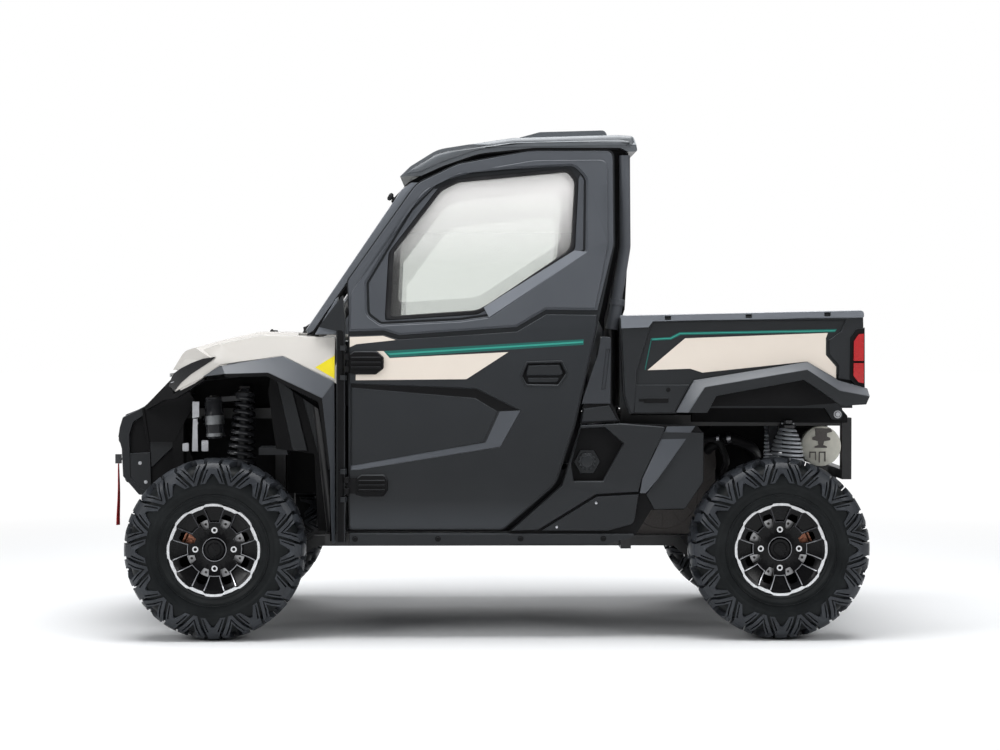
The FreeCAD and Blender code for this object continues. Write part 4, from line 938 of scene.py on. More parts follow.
# %% Floor
floor_finish = Finish("pale_floor", "black_plastic")
cloud = floor_finish.noise(0.6, 2.0)
reach = floor_finish.node("ShaderNodeVectorMath", {"operation": "LENGTH"})
floor_finish.feed(reach.inputs[0], floor_finish.place)
far = floor_finish.band(Flow(floor_finish, reach.outputs["Value"]), 2.6, 6.4)
near_tint = floor_finish.mix(cloud, (0.80, 0.81, 0.82), (0.77, 0.78, 0.79))
NO_LIGHT = (0.0, 0.0, 0.0)
floor_finish.set(Base_Color=floor_finish.mix(far, near_tint, NO_LIGHT), Roughness=cloud * 0.1 + 0.65,
                 Specular_IOR_Level=0.1)
floor_finish.set(Emission_Color=floor_finish.mix(far, NO_LIGHT, (1.0, 1.0, 1.0)), Emission_Strength=1.0)
ground = bmesh.new()
bmesh.ops.create_circle(ground, cap_ends=True, segments=64, radius=60.0)
floor_mesh = bpy.data.meshes.new("studio_floor")
ground.to_mesh(floor_mesh)
floor = placed("studio_floor", floor_mesh)
floor.data.materials.append(floor_finish.material)
floor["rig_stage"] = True

# %% Lamps
def softbox(name, place, target, size, watts):
    """A broad soft lamp turned towards a point."""
    lamp = bpy.data.lights.new(name, "AREA")
    lamp.shape = "RECTANGLE"
    lamp.size, lamp.size_y = size
    lamp.energy = watts
    held = placed(name, lamp)
    held.location = place
    held.rotation_euler = (Vector(target) - Vector(place)).to_track_quat("-Z", "Y").to_euler()


softbox("overhead", (0, -0.7, 6.0), (0, 0, 0), (6.5, 3.6), 500)
softbox("left_front", (-6.5, -5.4, 4.8), (-0.4, 0, 0.9), (3.5, 3.0), 220)
softbox("left_rear", (6.5, -5.2, 4.6), (0.6, 0, 0.9), (3.0, 2.6), 150)
softbox("far_side", (0.5, 6.5, 4.6), (0, 0, 1.0), (7.0, 3.0), 200)

# %% The room's walls
sky = bpy.data.worlds.new("studio")
sky.use_nodes = True
walls = sky.node_tree
room = walls.nodes["Background"]
room.inputs["Color"].default_value = (0.95, 0.97, 1.0, 1)
room.inputs["Strength"].default_value = 0.30
paper = walls.nodes.new("ShaderNodeBackground")
paper.inputs["Color"].default_value = (1, 1, 1, 1)
seen = walls.nodes.new("ShaderNodeLightPath")
either = walls.nodes.new("ShaderNodeMixShader")
straight = walls.nodes.new("ShaderNodeMath")
straight.operation = "MAXIMUM"
for source, entry in (
    (seen.outputs["Is Camera Ray"], straight.inputs[0]),
    (seen.outputs["Is Transmission Ray"], straight.inputs[1]),
    (straight.outputs[0], either.inputs[0]),
    (room.outputs[0], either.inputs[1]),
    (paper.outputs[0], either.inputs[2]),
    (either.outputs[0], walls.nodes["World Output"].inputs[0]),
):
    walls.links.new(source, entry)
bpy.context.scene.world = sky
bpy.context.scene.view_settings.view_transform = "Standard"
print("lamps", len(bpy.data.lights))

# %% [markdown]
# ## Doors
# Each door is one big moulding. The upper half is a frame round the window, with a raised band
# inside its edge, and the lower half has a sunken panel whose lower lips catch the light. A base
# shell carries these as raised layers with sloping edges, so that every joint line is a real groove.

# %% The door's surface
LOWER_FOLD, WAIST = 564, 1258
DOOR_OUT = 762
DOOR_CUTS = [LOWER_FOLD, WAIST, 1450, 1650, 1850]


def on_door(step=0.0):
    """The door's skin, straight to the waist and leaning in above and below it."""
    def out(x, z):
        if z > WAIST:
            lean = 108 * (z - WAIST) / 742
        else:
            lean = 22 * max(0.0, LOWER_FOLD - z) / 120
        return DOOR_OUT - lean + step
    return out


DOOR_OUTLINE = [(-541, 444, 18), (86, 444, 30), (303, 634, 120), (381, 874), (470, 1272, 60), (545, 1607, 60),
                (545, 2000, 34), (205, 2000, 400), (-96, 1944, 160), (-268, 1862, 120), (-549, 1462, 40),
                (-541, 1318, 40)]
WINDOW = [(-381, 1311, 30), (-16, 1336, 90), (30, 1362, 60), (368, 1588, 60), (386, 1872, 50),
          (352, 1912, 30), (-96, 1868, 80), (-168, 1832, 90), (-366, 1572, 60)]
WINDOW_RECESS = [(-468, 1450, 30), (-463, 1322, 40), (-410, 1284, 40), (-88, 1300), (26, 1316, 40),
                 (423, 1584, 12), (428, 1880, 60), (380, 1932, 50), (-10, 1912, 60), (-172, 1866, 60),
                 (-290, 1752, 30)]
UPPER_FRAME = [(-539, 1252), (-398, 1257, 20), (-336, 1238), (143, 1271), (262, 1341), (472, 1339),
               (540, 1607, 60), (540, 1996, 34), (205, 1996, 400), (-96, 1940, 160), (-266, 1858, 120),
               (-545, 1460, 40), (-539, 1320)]
RAISED_BAND = [(-534, 1258), (-396, 1262, 20), (-334, 1243), (141, 1277), (260, 1347), (464, 1345),
               (519, 1607, 60), (519, 1960, 34), (215, 1957, 400), (-100, 1902, 160), (-238, 1832, 120),
               (-534, 1412, 40)]
LOWER_HALF = [(-538, 447, 14), (84, 447, 30), (300, 636, 120), (377, 874), (466, 1272), (469, 1322),
              (262, 1324), (143, 1254), (-336, 1222), (-398, 1241), (-538, 1236)]
SUNKEN = [(-530, 1042), (-22, 1021), (156, 932), (75, 787), (-508, 694), (-530, 694)]
SUNKEN_PANEL = [(-529, 1026), (-26, 983), (64, 928), (8, 804), (-511, 710), (-529, 710)]
HANDLE = [(186, 1124, 8), (322, 1128, 10), (344, 1084, 6), (311, 1036, 8), (182, 1038, 8), (164, 1072, 10)]


def door_shell(piece):
    """The base that carries the raised layers."""
    piece.panel(DOOR_OUTLINE, on_door(-9), on_door(-46), [WINDOW], DOOR_CUTS)


def door_upper(piece):
    """The frame round the window and the raised band on it."""
    cuts = DOOR_CUTS[1:]
    piece.panel(UPPER_FRAME, on_door(-3), on_door(-12), [WINDOW_RECESS], cuts, slope=3)
    wider = inset(WINDOW_RECESS, -5)
    piece.panel(RAISED_BAND, on_door(3), on_door(-6), [wider], cuts, slope=5)


def door_ledge(piece):
    """The broad slope under the rear of the window, which catches the light; its paler plastic adds a painted
    highlight.
    """
    ledge = {"a": (30, 757.4, 1311), "b": (432, 715.4, 1578), "c": (378, 712.4, 1584), "d": (8, 746.4, 1352)}
    piece.facets(ledge, ["abcd"], 10)


def door_lower(piece):
    """The skin below the waist and the floor of its sunken panel."""
    piece.panel(LOWER_HALF, on_door(0), on_door(-12), [SUNKEN, HANDLE], DOOR_CUTS[:2], slope=3)
    piece.panel(SUNKEN_PANEL, on_door(-6), on_door(-12), slope=2)


def door_lips(piece):
    """The sloping lower and rear lips of the sunken panel."""
    spots = {"a": (-532, 752, 712), "b": (8, 752, 804), "c": (64, 752, 928), "d": (158, 761.5, 933),
             "e": (76, 761.5, 786), "f": (-506, 761.5, 692), "g": (-532, 761.5, 692)}
    piece.facets(spots, ["abefg", "bcde"], 8)


def door_shadow(piece):
    """Black floors of painted shade: in the joint above the sunken panel and behind the handle."""
    joint = [(-534, 1040), (-22, 1019), (152, 932), (66, 930), (-26, 985), (-534, 1028)]
    piece.panel(joint, on_door(-8), on_door(-12))
    piece.panel(HANDLE, on_door(-8.4), on_door(-12))


def door_handle(piece):
    """A rim, the flap that is pulled, and a pad below it."""
    rim = inset(HANDLE, -10)
    piece.panel(rim, on_door(3.5), on_door(-6), [inset(HANDLE, 2)], slope=3.5)
    flap = [(188, 1116, 6), (318, 1119, 6), (332, 1084, 6), (320, 1074, 4), (182, 1074, 4), (178, 1082, 6)]
    piece.panel(flap, on_door(1.5), on_door(-9), slope=4)
    piece.panel([(186, 1066, 6), (318, 1066, 6), (304, 1046, 6), (188, 1046, 6)], on_door(-4),
                on_door(-9), slope=3)


def door_hinges(piece):
    """Two broad hinge plates with three ridges each, on the solids' hinge line."""
    for x, z, wide, high in ((-541, 1077, 146, 99), (-511, 582, 132, 93)):
        top = z + high
        plate = [(x, z + 8, 4), (x + 26, z, 14), (x + 112, z, 14), (x + wide, z + 26, 14),
                 (x + wide, top - 26, 14), (x + 118, top, 14), (x + 22, top, 14), (x, top - 16, 4)]
        piece.panel(plate, 778, 756, slope=6)
        for level in (0.30, 0.50, 0.70):
            ridge_z = z + high * level
            ridge = [(x + 10, ridge_z - 6, 5), (x + wide - 12, ridge_z - 6, 5),
                     (x + wide - 12, ridge_z + 6, 5), (x + 10, ridge_z + 6, 5)]
            piece.panel(ridge, 783, 774, slope=3)
        arm = [(-548, z + 14), (x + 12, z + 14), (x + 12, top - 14), (-548, top - 14)]
        piece.panel(arm, 772, 758)
        for share in (0.12, 0.62):
            start = (-548, -776, z + high * share)
            piece.rod(start, (-548, -776, z + high * (share + 0.26)), 11)


def door_field(piece):
    """The sunken field between the raised band and the glass, in front of, below and behind it."""
    piece.panel([(-196, 1838), (-284, 1746, 30), (-460, 1449, 20), (-455, 1328, 24), (-408, 1292, 24),
                 (-89, 1308), (22, 1324, 30), (415, 1588, 10), (420, 1877, 30), (404, 1897), (397, 1876),
                 (381, 1584, 40), (34, 1351, 50), (-15, 1323, 60), (-393, 1298, 10), (-379, 1575, 60),
                 (-178, 1838)],
                on_door(-5.5), on_door(-12), cuts_z=DOOR_CUTS[2:], slope=1.2)


def door_seal(piece):
    """Rubber round the glass, and an upright behind its front edge."""
    outer, inner = inset(WINDOW, -13), inset(WINDOW, 5)
    piece.panel(outer, on_door(-4), on_door(-14), [inner], DOOR_CUTS[1:], slope=4)
    piece.panel([(-384, 1306), (-370, 1306), (-356, 1582), (-368, 1580)], on_door(-3), on_door(-30))


def door_sand(piece):
    """The two sand decals, above and below the stripe."""
    piece.panel([(-535, 1190), (-508, 1202), (-348, 1219), (-400, 1236), (-535, 1231)],
                on_door(0.9), on_door(-2))
    piece.panel([(-511, 1056), (-62, 1060), (108, 1170), (-373, 1146), (-398, 1174), (-511, 1174)],
                on_door(0.9), on_door(-2))


def door_teal_edge(piece):
    """The dark border of the stripe."""
    piece.panel([(-402, 1174), (-373, 1148), (414, 1200), (414, 1222)], on_door(0.7), on_door(-2))


def door_teal(piece):
    """The stripe itself."""
    stripe = [(-383, 1164.6), (-371, 1158.4), (412, 1207.6), (412, 1214.2)]
    piece.panel(stripe, on_door(1.3), on_door(-2))


DOOR_LAYERS = [
    ("shell", charcoal, 1.5, door_shell),
    ("upper_frame", slate, 2.0, door_upper),
    ("window_ledge", pale_slate, 0.8, door_ledge),
    ("lower_skin", door_plastic, 1.6, door_lower),
    ("panel_lips", slate, 1.0, door_lips),
    ("shadow_gaps", shadow_plastic, 0.5, door_shadow),
    ("handle", charcoal, 1.0, door_handle),
    ("hinges", shadow_plastic, 1.2, door_hinges),
    ("window_field", slate, 1.0, door_field),
    ("window_seal", seal_rubber, 1.2, door_seal),
    ("sand_decals", sand_print, 0.2, door_sand),
    ("stripe_edge", deep_teal_print, 0.2, door_teal_edge),
    ("stripe", teal_print, 0.2, door_teal),
]
for side, tag in ((LEFT, "left"), (RIGHT, "right")):
    for name, finish, edge, build in DOOR_LAYERS:
        layer = Piece("door_" + tag + "_" + name, "door_" + tag, finish, edge, flip=side == RIGHT)
        build(layer)
        layer.done(replaces=("door_" + tag,) if name == "shell" else ())
print("door leans in by", round(DOOR_OUT - on_door()(0, 2000)), "mm at its top")

# %% [markdown]
# ## Glass
# The door panes, windscreen and rear window keep their solids' shapes, so they only need a finish:
# thin clear glazing with a slight green cast, through which the far side shows. The door panes' outer
# faces carry a painted reflection of the bright room: a pale sheet, stronger towards the top, over the dark
# cab.

# %% Clear glass and lamp lenses
def glazing(name, slot, colour, rough, alpha, weight=1.0):
    """Clear or tinted glazing that lets the room through."""
    finish = Finish(name, slot)
    haze = finish.noise(3.0, 2.0)
    finish.set(Base_Color=colour, Roughness=haze * 0.03 + rough, Alpha=haze * 0.04 + (alpha - 0.02))
    finish.set(Transmission_Weight=weight, IOR=1.45)
    return finish


window_glass = glazing("window_glass", "clear_glass", (0.93, 0.965, 0.93), 0.02, 0.3)
door_glass = glazing("door_glass", "clear_glass", (0.68, 0.73, 0.68), 0.02, 0.46)
# Painted reflection: a pale diffuse sheet on the outer faces, mixed in more towards the top.
outward = door_glass.part("Y") * door_glass.part("Y", door_glass.place)
painted_reflection = door_glass.node("ShaderNodeBsdfDiffuse", Color=(0.92, 0.90, 0.895), Roughness=0.2)
reflection_rise = door_glass.band(door_glass.part("Z", door_glass.place), 1.52, 1.84) * 0.50 + 0.04
glare = reflection_rise * door_glass.band(outward, 0.0, 0.2)
with_reflection = door_glass.node("ShaderNodeMixShader")
for socket, value in zip(with_reflection.inputs, (glare.socket, door_glass.shader.outputs[0], painted_reflection.outputs[0])):
    door_glass.tree.links.new(value, socket)
door_glass.tree.links.new(with_reflection.outputs[0], door_glass.tree.nodes["Material Output"].inputs[0])
lamp_glass = glazing("lamp_glass", "lamp_clear", (0.012, 0.012, 0.014), 0.06, 0.94, 0.0)


def lamp_lens(name, slot, colour, rough):
    """A coloured lens: clear plastic dyed in the mass, with fine ribs moulded behind it."""
    finish = Finish(name, slot)
    ribs_height = finish.noise(90.0, 1.0, (1.0, 1.0, 14.0))
    deep = tuple(part * 0.45 for part in colour)
    finish.set(Base_Color=finish.mix(ribs_height, colour, deep), Roughness=ribs_height * 0.1 + rough)
    finish.set(Coat_Weight=0.6, Coat_Roughness=0.05, Normal=finish.bumps(ribs_height, 0.3, 0.001))
    return finish


lamp_red = lamp_lens("lamp_red_lens", "lamp_red", (0.60, 0.008, 0.012), 0.12)
lamp_white = lamp_lens("lamp_clear_lens", "lamp_clear", (0.72, 0.74, 0.77), 0.12)
DOOR_PANES = ("door_glass_left", "door_glass_right")
FIXED_PANES = ("windscreen", "rear_window")
wear_finish(door_glass, *DOOR_PANES)
wear_finish(window_glass, *FIXED_PANES)
print("panes", len(DOOR_PANES + FIXED_PANES))

# %% [markdown]
# ## Roof and cab frame
# The roof is one thick moulding whose rim droops over the doors: a steep dark edge below, a lighter
# rounded shoulder above it and a raised middle at the back. The solid has that form, so the scene
# adds the drip rail and the rounded rim. Steel tubes carry it.

# %% Roof rim, drip rail and tubes
ROOF_RIM = [(-334, 1889), (-292, 1930, 60), (-180, 2000, 160), (-6, 2028, 300), (125, 2048), (560, 2062, 20),
            (622, 2058, 16), (638, 1992, 8), (606, 1994), (569, 2010), (225, 2010, 300), (-10, 1986, 300),
            (-160, 1934, 200), (-245, 1893)]


def wear_roof():
    """The rounded rim, the drip rail under it and the header behind the door's top."""
    rim = pair("roof_rim", roof_plastic, 3.0, corner=62)
    rim.panel(ROOF_RIM, 650, 630, slope=13)
    rim.panel([(-322, 1896), (-285, 1926, 60), (-178, 1990, 160), (-6, 2016, 300), (125, 2034),
               (560, 2046, 20), (612, 2040, 10), (618, 2006, 8), (566, 2020), (225, 2020, 300),
               (-10, 1996, 300), (-160, 1944, 200), (-248, 1902)], 656, 640, slope=9)
    rim.done()
    drip = pair("roof_drip_rail", shadow_plastic, 1.0)
    drip.panel([(-243, 1893), (-158, 1928, 200), (-10, 1979, 300), (225, 2001, 300), (569, 2001), (569, 2010),
                (225, 2010, 300), (-10, 1986, 300), (-160, 1935, 200), (-245, 1899)], 648, 600)
    drip.done()
    # The header is a near-black sheet of painted shade under the roof, behind the door's top.
    header = pair("door_headers", shadow_plastic, 1.0)
    header.panel([(-372, 1792), (-300, 1868), (-235, 1905, 60), (-100, 1968, 160), (205, 2004, 400),
                  (596, 2004), (596, 1926), (360, 1926), (-90, 1886, 60), (-180, 1850, 60), (-290, 1744),
                  (-340, 1704)], 604, 596)
    header.done()


wear_roof()
wear_finish(roof_plastic, "roof")
wear_finish(frame_coat, "cab_frame", "frame", "front_bumper", "rear_bumper", "final_drives")
wear_finish(shadow_plastic, "floor_tub", "front_fascia")
wear_finish(charcoal, "dashboard", "seat_base", "steering_wheel", "bed_tub")
wear_finish(slate, "rear_wall")
wear_finish(casting, "engine_block", "wishbones", "rear_hub_carriers", "knuckle_left", "knuckle_right")
print("roof rim corners", len(ROOF_RIM))

# %% [markdown]
# ## Pillar covers
# The windscreen pillars carry long plastic covers, darker at the inner edge, and the rear tubes
# have a cover with a slot and a clip collar at the waist.

# %% Covers on the front and rear pillars
# The covers wear the paler slate, painted light where the roof shades them.
pillar_covers = pair("pillar_covers", pale_slate, 2.0)
pillar_covers.panel([(-716, 1238, 8), (-688, 1252), (-292, 1822, 60), (-250, 1868), (-290, 1868, 20),
                     (-330, 1838, 30), (-722, 1262, 8)], 652, 600, slope=5)
pillar_covers.panel([(-682, 1240), (-590, 1240), (-584, 1398, 6), (-597, 1384)], 730, 690, slope=3)
pillar_covers.done()
knobs = pair("pillar_knobs", seal_rubber, 1.0)
knobs.rod((-346, -612, 1792), (-372, -612, 1806), 7)
knobs.turned([(0, 0), (0, 10), (5, 16), (14, 17), (19, 11), (19, 0)], (-366, -612, 1803), (-0.85, 0, 0.5), 24)
knobs.done()
pillar_seals = pair("rear_pillar_seals", shadow_plastic, 1.0)
pillar_seals.panel([(504, 1256), (560, 1256), (592, 1345), (606, 1600), (606, 1990), (508, 1990), (500, 1600),
                    (462, 1345)], 600, 590)
pillar_seals.done()
rear_tubes = pair("rear_pillar_tubes", slate, 1.0)
rear_tubes.pipe([(589, -620, 1978), (592, -616, 1600), (548, -634, 1338)], 23, 140)
rear_tubes.turned([(0, 20), (0, 31), (26, 31), (26, 20)], (556, -632, 1362), (0.16, 0, 0.98), 32)
rear_tubes.pipe([(556, -632, 1366), (536, -636, 1262)], 27, 60)
rear_tubes.done()
post_covers = pair("post_covers", mid_slate, 1.6)
post_covers.panel([(470, 1160), (484, 1236, 8), (528, 1232, 8), (526, 958), (404, 958), (412, 990)], 757, 720,
                  [[(508, 1180), (519, 1180), (500, 1020), (490, 1020)]], slope=3)
post_covers.panel([(506, 1182), (521, 1182), (502, 1018), (488, 1018)], 752, 720)
post_covers.bolt((507, -756, 992), (0, -1, 0), 5, 4)
post_covers.done()

# %% [markdown]
# ## Hood, fenders and headlamps
# One sand-coloured moulding wraps the nose, and the hood panel sits in it with a fine gap. Its side
# runs back as a band that tapers under the black flare, ending in a yellow triangle by the door.
# The lamps are slits under the brow: a dark glossy lens with a few small white light bars.

# %% Nose and fenders
def nose_half_width(x):
    """How wide the nose is at a place along it: full at the back, drawn in towards the front."""
    line = [(-1400, 480), (-1240, 642), (-1060, 746), (-500, 752)]
    for (x0, y0), (x1, y1) in zip(line, line[1:]):
        if x <= x1:
            return y0 + (y1 - y0) * (x - x0) / (x1 - x0)
    return line[-1][1]


fender = pair("fender_skins", sand, 2.5)


def fender_out(step):
    """The fender's distance out, leaning in towards the hood."""
    return lambda x, z: nose_half_width(x) + step - max(0.0, z - 1128) * 0.34


fender.panel([(-1280, 1052, 8), (-1208, 1161, 30), (-1055, 1206, 200), (-907, 1240, 200), (-772, 1238, 100),
              (-594, 1232, 10), (-594, 1050), (-808, 1152), (-1060, 1118), (-1130, 1068), (-1264, 1002, 8)],
             fender_out(4), fender_out(-22), cuts_z=[1128, 1160, 1200],
             cuts_x=[-1240, -1180, -1120, -1060, -1000, -900], slope=3)
fender.done()
yellow = pair("yellow_triangles", yellow_print, 0.3)
yellow.panel([(-676, 1108), (-597, 1156), (-597, 1062)], fender_out(5.2), fender_out(-4), cuts_z=[1128])
yellow.done()
wear_finish(sand, "front_bodywork", "hood")

# %% Headlamps
LAMP_SLIT = [(-1266, 1081, 10), (-1278, 1060, 6), (-1289, 1028, 4), (-1262, 1008, 4), (-1230, 1045),
             (-1186, 1080), (-1142, 1107), (-1099, 1134), (-1082, 1151), (-1136, 1143), (-1186, 1125),
             (-1230, 1104)]
lamps = pair("headlamp_lenses", lamp_glass, 1.0)


def lamp_place(step):
    """A spot on the lamp, following the nose as it narrows."""
    return lambda x, z, share: Vector((x, -(nose_half_width(x) + step - 14 + 14 * share), z))


lamps.relief([rounded(LAMP_SLIT)], lamp_place(6), cuts_u=[-1240, -1180, -1120])
lamps.done(replaces=("headlamps",))
lamp_bars = pair("headlamp_light_bars", lamp_white, 0.4)
lamp_bars.panel([(-1282, 1040, 3), (-1264, 1045, 3), (-1262, 1050, 3), (-1280, 1045, 3)],
                lambda x, z: nose_half_width(x) + 6.6, lambda x, z: nose_half_width(x) + 2, slope=1)
for near, far in ((440, 500), (508, 560)):
    lamp_bars.block((-1290, -far, 1066), (-1286, -near, 1080))
lamp_bars.done()
ducts = pair("nose_side_ducts", shadow_plastic, 1.0)
ducts.panel([(-1288, 1044), (-1264, 1000), (-1130, 1066), (-1126, 1054), (-1256, 976), (-1312, 968),
             (-1400, 922), (-1412, 936)], lambda x, z: nose_half_width(x) + 1,
            lambda x, z: nose_half_width(x) - 60, cuts_x=[-1340, -1240, -1180], slope=3)
ducts.done()
print("nose half width at the axle", round(nose_half_width(FRONT_AXLE)), "mm")

# %% [markdown]
# ## Front flares
# A broad black flare arches over the wheel and runs down in front of the door. It has two faces: an
# upper shoulder that looks up, in a paler plastic painted for the light on it, and a wall below in a darker
# one, a painted shade; the strip under the shoulder's edge is near-black painted shade. Folding plates from
# named corners is the plainest way to get such creases exactly where they belong.

# %% Folded flares
flare = pair("front_flare_skins", slate, 2.0)
FLARE_SPOTS = {
    "b": (-1134, 736, 1070), "c": (-1057, 746, 1118), "d": (-808, 752, 1154), "e": (-598, 762, 1050),
    "f": (-596, 768, 640), "g": (-596, 764, 394), "k": (-606, 790, 394), "s": (-1040, 792, 1082),
    "t": (-864, 792, 1087), "u": (-646, 792, 984), "v": (-614, 792, 694), "w": (-612, 790, 520),
    "S": (-1040, 780, 1068), "T": (-870, 780, 1073), "U": (-662, 780, 968), "V": (-622, 782, 694),
}
flare.facets(FLARE_SPOTS, ["cdts", "deut"], 26)
flare.done(replaces=("front_flares",))
flare_wall = pair("front_flare_walls", mid_slate, 1.6)
flare_wall.facets(FLARE_SPOTS, ["bcs", "efvu", "fgkwv"], 26)
flare_wall.done()
flare_edge = pair("front_flare_edges", shadow_plastic, 1.0)
flare_edge.facets(FLARE_SPOTS, ["stTS", "tuUT", "uvVU"], 24)
flare_edge.done()
arch_liner = pair("front_arch_liners", shadow_plastic, 1.5)
arch_liner.facets({
    "a": (-1240, 590, 985), "b": (-1128, 712, 1052), "c": (-868, 760, 1082), "d": (-664, 760, 940),
    "e": (-620, 760, 694), "f": (-616, 760, 400), "A": (-1240, 440, 1010), "B": (-1125, 440, 1072),
    "C": (-866, 440, 1096), "D": (-650, 560, 944), "E": (-604, 640, 694), "F": (-600, 640, 400),
}, ["abBA", "bcCB", "cdDC", "deED", "efFE"], 4)
arch_liner.done()
wear_finish(charcoal, "pillar_trims")
print("flare corners", len(FLARE_SPOTS))

# %% Trims between the fender and the door
trims = pair("door_post_trims", shadow_plastic, 1.0)
trims.panel([(-588, 396), (-558, 396), (-558, 1250), (-566, 1262, 6), (-588, 1262)], 761, 740, slope=3)
for low in (560, 1056):
    raised = [(-585, low, 6), (-562, low, 6), (-562, low + 128, 6), (-585, low + 128, 6)]
    trims.panel(raised, 766, 748, slope=2)
trims.done()

# %% [markdown]
# ## Side panels behind the doors
# Below the cab's rear corner a panel covers the tank. On the left it has a deep angular pocket with
# the filler cap on a hexagonal plate. A slanted joint divides it from the lower piece, and a bright
# strut leans forward from the bed to that joint. The far side has the same layers without the pocket.

# %% Panels, strut and filler
POCKET = [(404, 858, 4), (500, 862, 4), (576, 797, 4), (494, 645, 6), (376, 645, 6), (366, 716, 4)]
UPPER_PANEL = [(118, 441), (326, 628), (402, 873), (566, 880), (752, 866, 10), (655, 656, 30), (640, 599),
               (466, 589, 10), (230, 444)]
LOWER_PANEL = [(244, 443), (468, 582, 10), (641, 592), (622, 470, 30), (514, 441)]


def side_panel(tag, flip, has_pocket):
    """The layers behind one door: a dark backing, the skins, a strut and two fixings."""
    holes = [POCKET] if has_pocket else []
    backing = Piece("side_backing_" + tag, "chassis", shadow_plastic, 1.0, flip=flip)
    backing.panel([(112, 438), (324, 628), (402, 868), (566, 878), (878, 870), (905, 838), (905, 642),
                   (828, 528, 20), (690, 526), (628, 424), (505, 386), (112, 386)], 742, 700, holes)
    backing.panel([(402, 876), (414, 950), (470, 1160), (486, 1236), (530, 1232), (530, 962), (564, 888)],
                  745, 700)
    if has_pocket:
        backing.panel(POCKET, 716, 700)
    backing.done(replaces=("side_panels", "fuel_cap") if has_pocket else ())
    skin = Piece("side_skin_" + tag, "chassis", charcoal, 2.0, flip=flip)
    skin.panel(UPPER_PANEL, 756, 738, holes, slope=4)
    skin.panel(LOWER_PANEL, 756, 738, slope=3)
    skin.panel([(700, 848), (905, 842), (905, 642), (830, 530), (702, 528), (668, 590), (716, 656)], 748, 736,
               slope=3)
    skin.panel([(400, 880), (410, 944), (522, 958), (560, 886)], 752, 736, slope=8)
    skin.done()
    strut = Piece("side_strut_" + tag, "chassis", slate, 1.6, flip=flip)
    strut.facets({"a": (756, 742, 868), "b": (872, 742, 870), "c": (718, 766, 656), "d": (654, 766, 656),
                  "e": (668, 762, 596), "f": (644, 762, 596)}, ["abcd", "dcef"], 26)
    strut.done()
    fixings = Piece("side_fixings_" + tag, "chassis", zinc, 0.4, flip=flip)
    for x, z in ((466, 556), (305, 458)):
        fixings.turned([(0, 0), (0, 6), (2.5, 5), (3.5, 0)], (x, -756, z), (0, -1, 0), 20)
    fixings.done()


side_panel("left", False, True)
side_panel("right", True, False)

filler = Piece("filler_cap", "chassis", charcoal, 1.0)
hexagon = [(430 + 56 * math.sin(math.radians(30 + 60 * k)), 722 + 56 * math.cos(math.radians(30 + 60 * k)), 6)
           for k in range(6)]
filler.panel(hexagon, 724, 710, slope=3)
filler.turned([(0, 0), (0, 34), (14, 34), (17, 31), (17, 0)], (430, -722, 724), (0, -1, 0), 40)
grip = Piece("grip", "chassis", charcoal)
grip.block((-4, -24, 26), (4, -12, 36))
ribs = repeated(grip.mesh, 12, charcoal)
start = len(filler.mesh.verts)
filler.mesh.from_mesh(ribs)
filler.mesh.verts.ensure_lookup_table()
for vert in filler.mesh.verts[start:]:
    vert.co += Vector((430, -716, 724))
filler.turned([(0, 0), (0, 27), (4, 25), (6, 14), (6, 0)], (430, -739, 724), (0, -1, 0), 8)
filler.done()
print("faces in the cap's grip ribs", len(ribs.polygons))

# %% Sill rails
sills = pair("sill_rails_skin", charcoal, 2.0)
sills.panel([(-541, 385, 4), (505, 385), (626, 416, 12), (622, 432, 6), (-541, 435, 4)], 758, 700, slope=4)
sills.done(replaces=("sill_rails",))
sill_bolts = pair("sill_bolts", shadow_plastic, 0.5)
for x in (-515, -178, 158, 495):
    sill_bolts.bolt((x, -757, 411), (0, -1, 0), 8, 6)
sill_bolts.done()

# %% [markdown]
# ## Load bed
# The bed is a dark plastic box with a deep moulded rail, tie-down slots along it, and a sunken
# field in each side for a sand decal and a teal line. A folded flare arches over the rear wheel.
# Decals are plates a millimetre or two proud, so that they never fight with the skin.

# %% Bed sides
BED_SIDE = [(600, 918), (576, 1000), (563, 1311, 8), (1558, 1336, 14), (1563, 1040), (1328, 1122),
            (868, 1048), (795, 918)]
sides = pair("bed_side_skins", charcoal, 2.0, "bed")
sides.panel(BED_SIDE, 736, 694, slope=2)
sides.panel([(604, 921), (580, 1000), (566, 1306, 8), (1556, 1330, 14), (1560, 1044), (1452, 1060),
             (1454, 1114), (1414, 1160), (1414, 1220), (1464, 1256), (1480, 1298), (700, 1292),
             (684, 1254), (634, 1090), (632, 1038), (622, 921)], 746, 730, slope=4)
sides.panel([(624, 1038, 4), (848, 1038), (786, 922), (618, 922)], 743, 730, slope=3)
sides.done(replaces=("bed_sides",))
rails = pair("bed_rails", pale_slate, 2.5, "bed")
TIE_SLOTS = [[(748, 1303), (768, 1303.4), (768, 1314), (748, 1313.6)],
             [(1077, 1311), (1097, 1311.4), (1097, 1321), (1077, 1320.6)],
             [(1398, 1318), (1418, 1318.4), (1418, 1329), (1398, 1328.6)]]
rails.panel([(564, 1320, 6), (1559, 1342, 14), (1561, 1307, 8), (900, 1297), (698, 1292), (680, 1268),
             (566, 1264)], 752, 700, TIE_SLOTS, slope=3)
rails.done()
latch = pair("bed_latches", shadow_plastic, 1.0, "bed")
latch.panel([(660, 962, 4), (762, 962, 4), (762, 984, 4), (660, 984, 4)], 748, 738, slope=2)
latch.panel([(640, 968, 4), (664, 968, 4), (664, 979, 4), (640, 979, 4)], 746, 738)
latch.bolt((760, -743, 1016), (0, -1, 0), 6, 4)
latch.done()
bed_sand = pair("bed_decals", sand_print, 0.2, "bed")
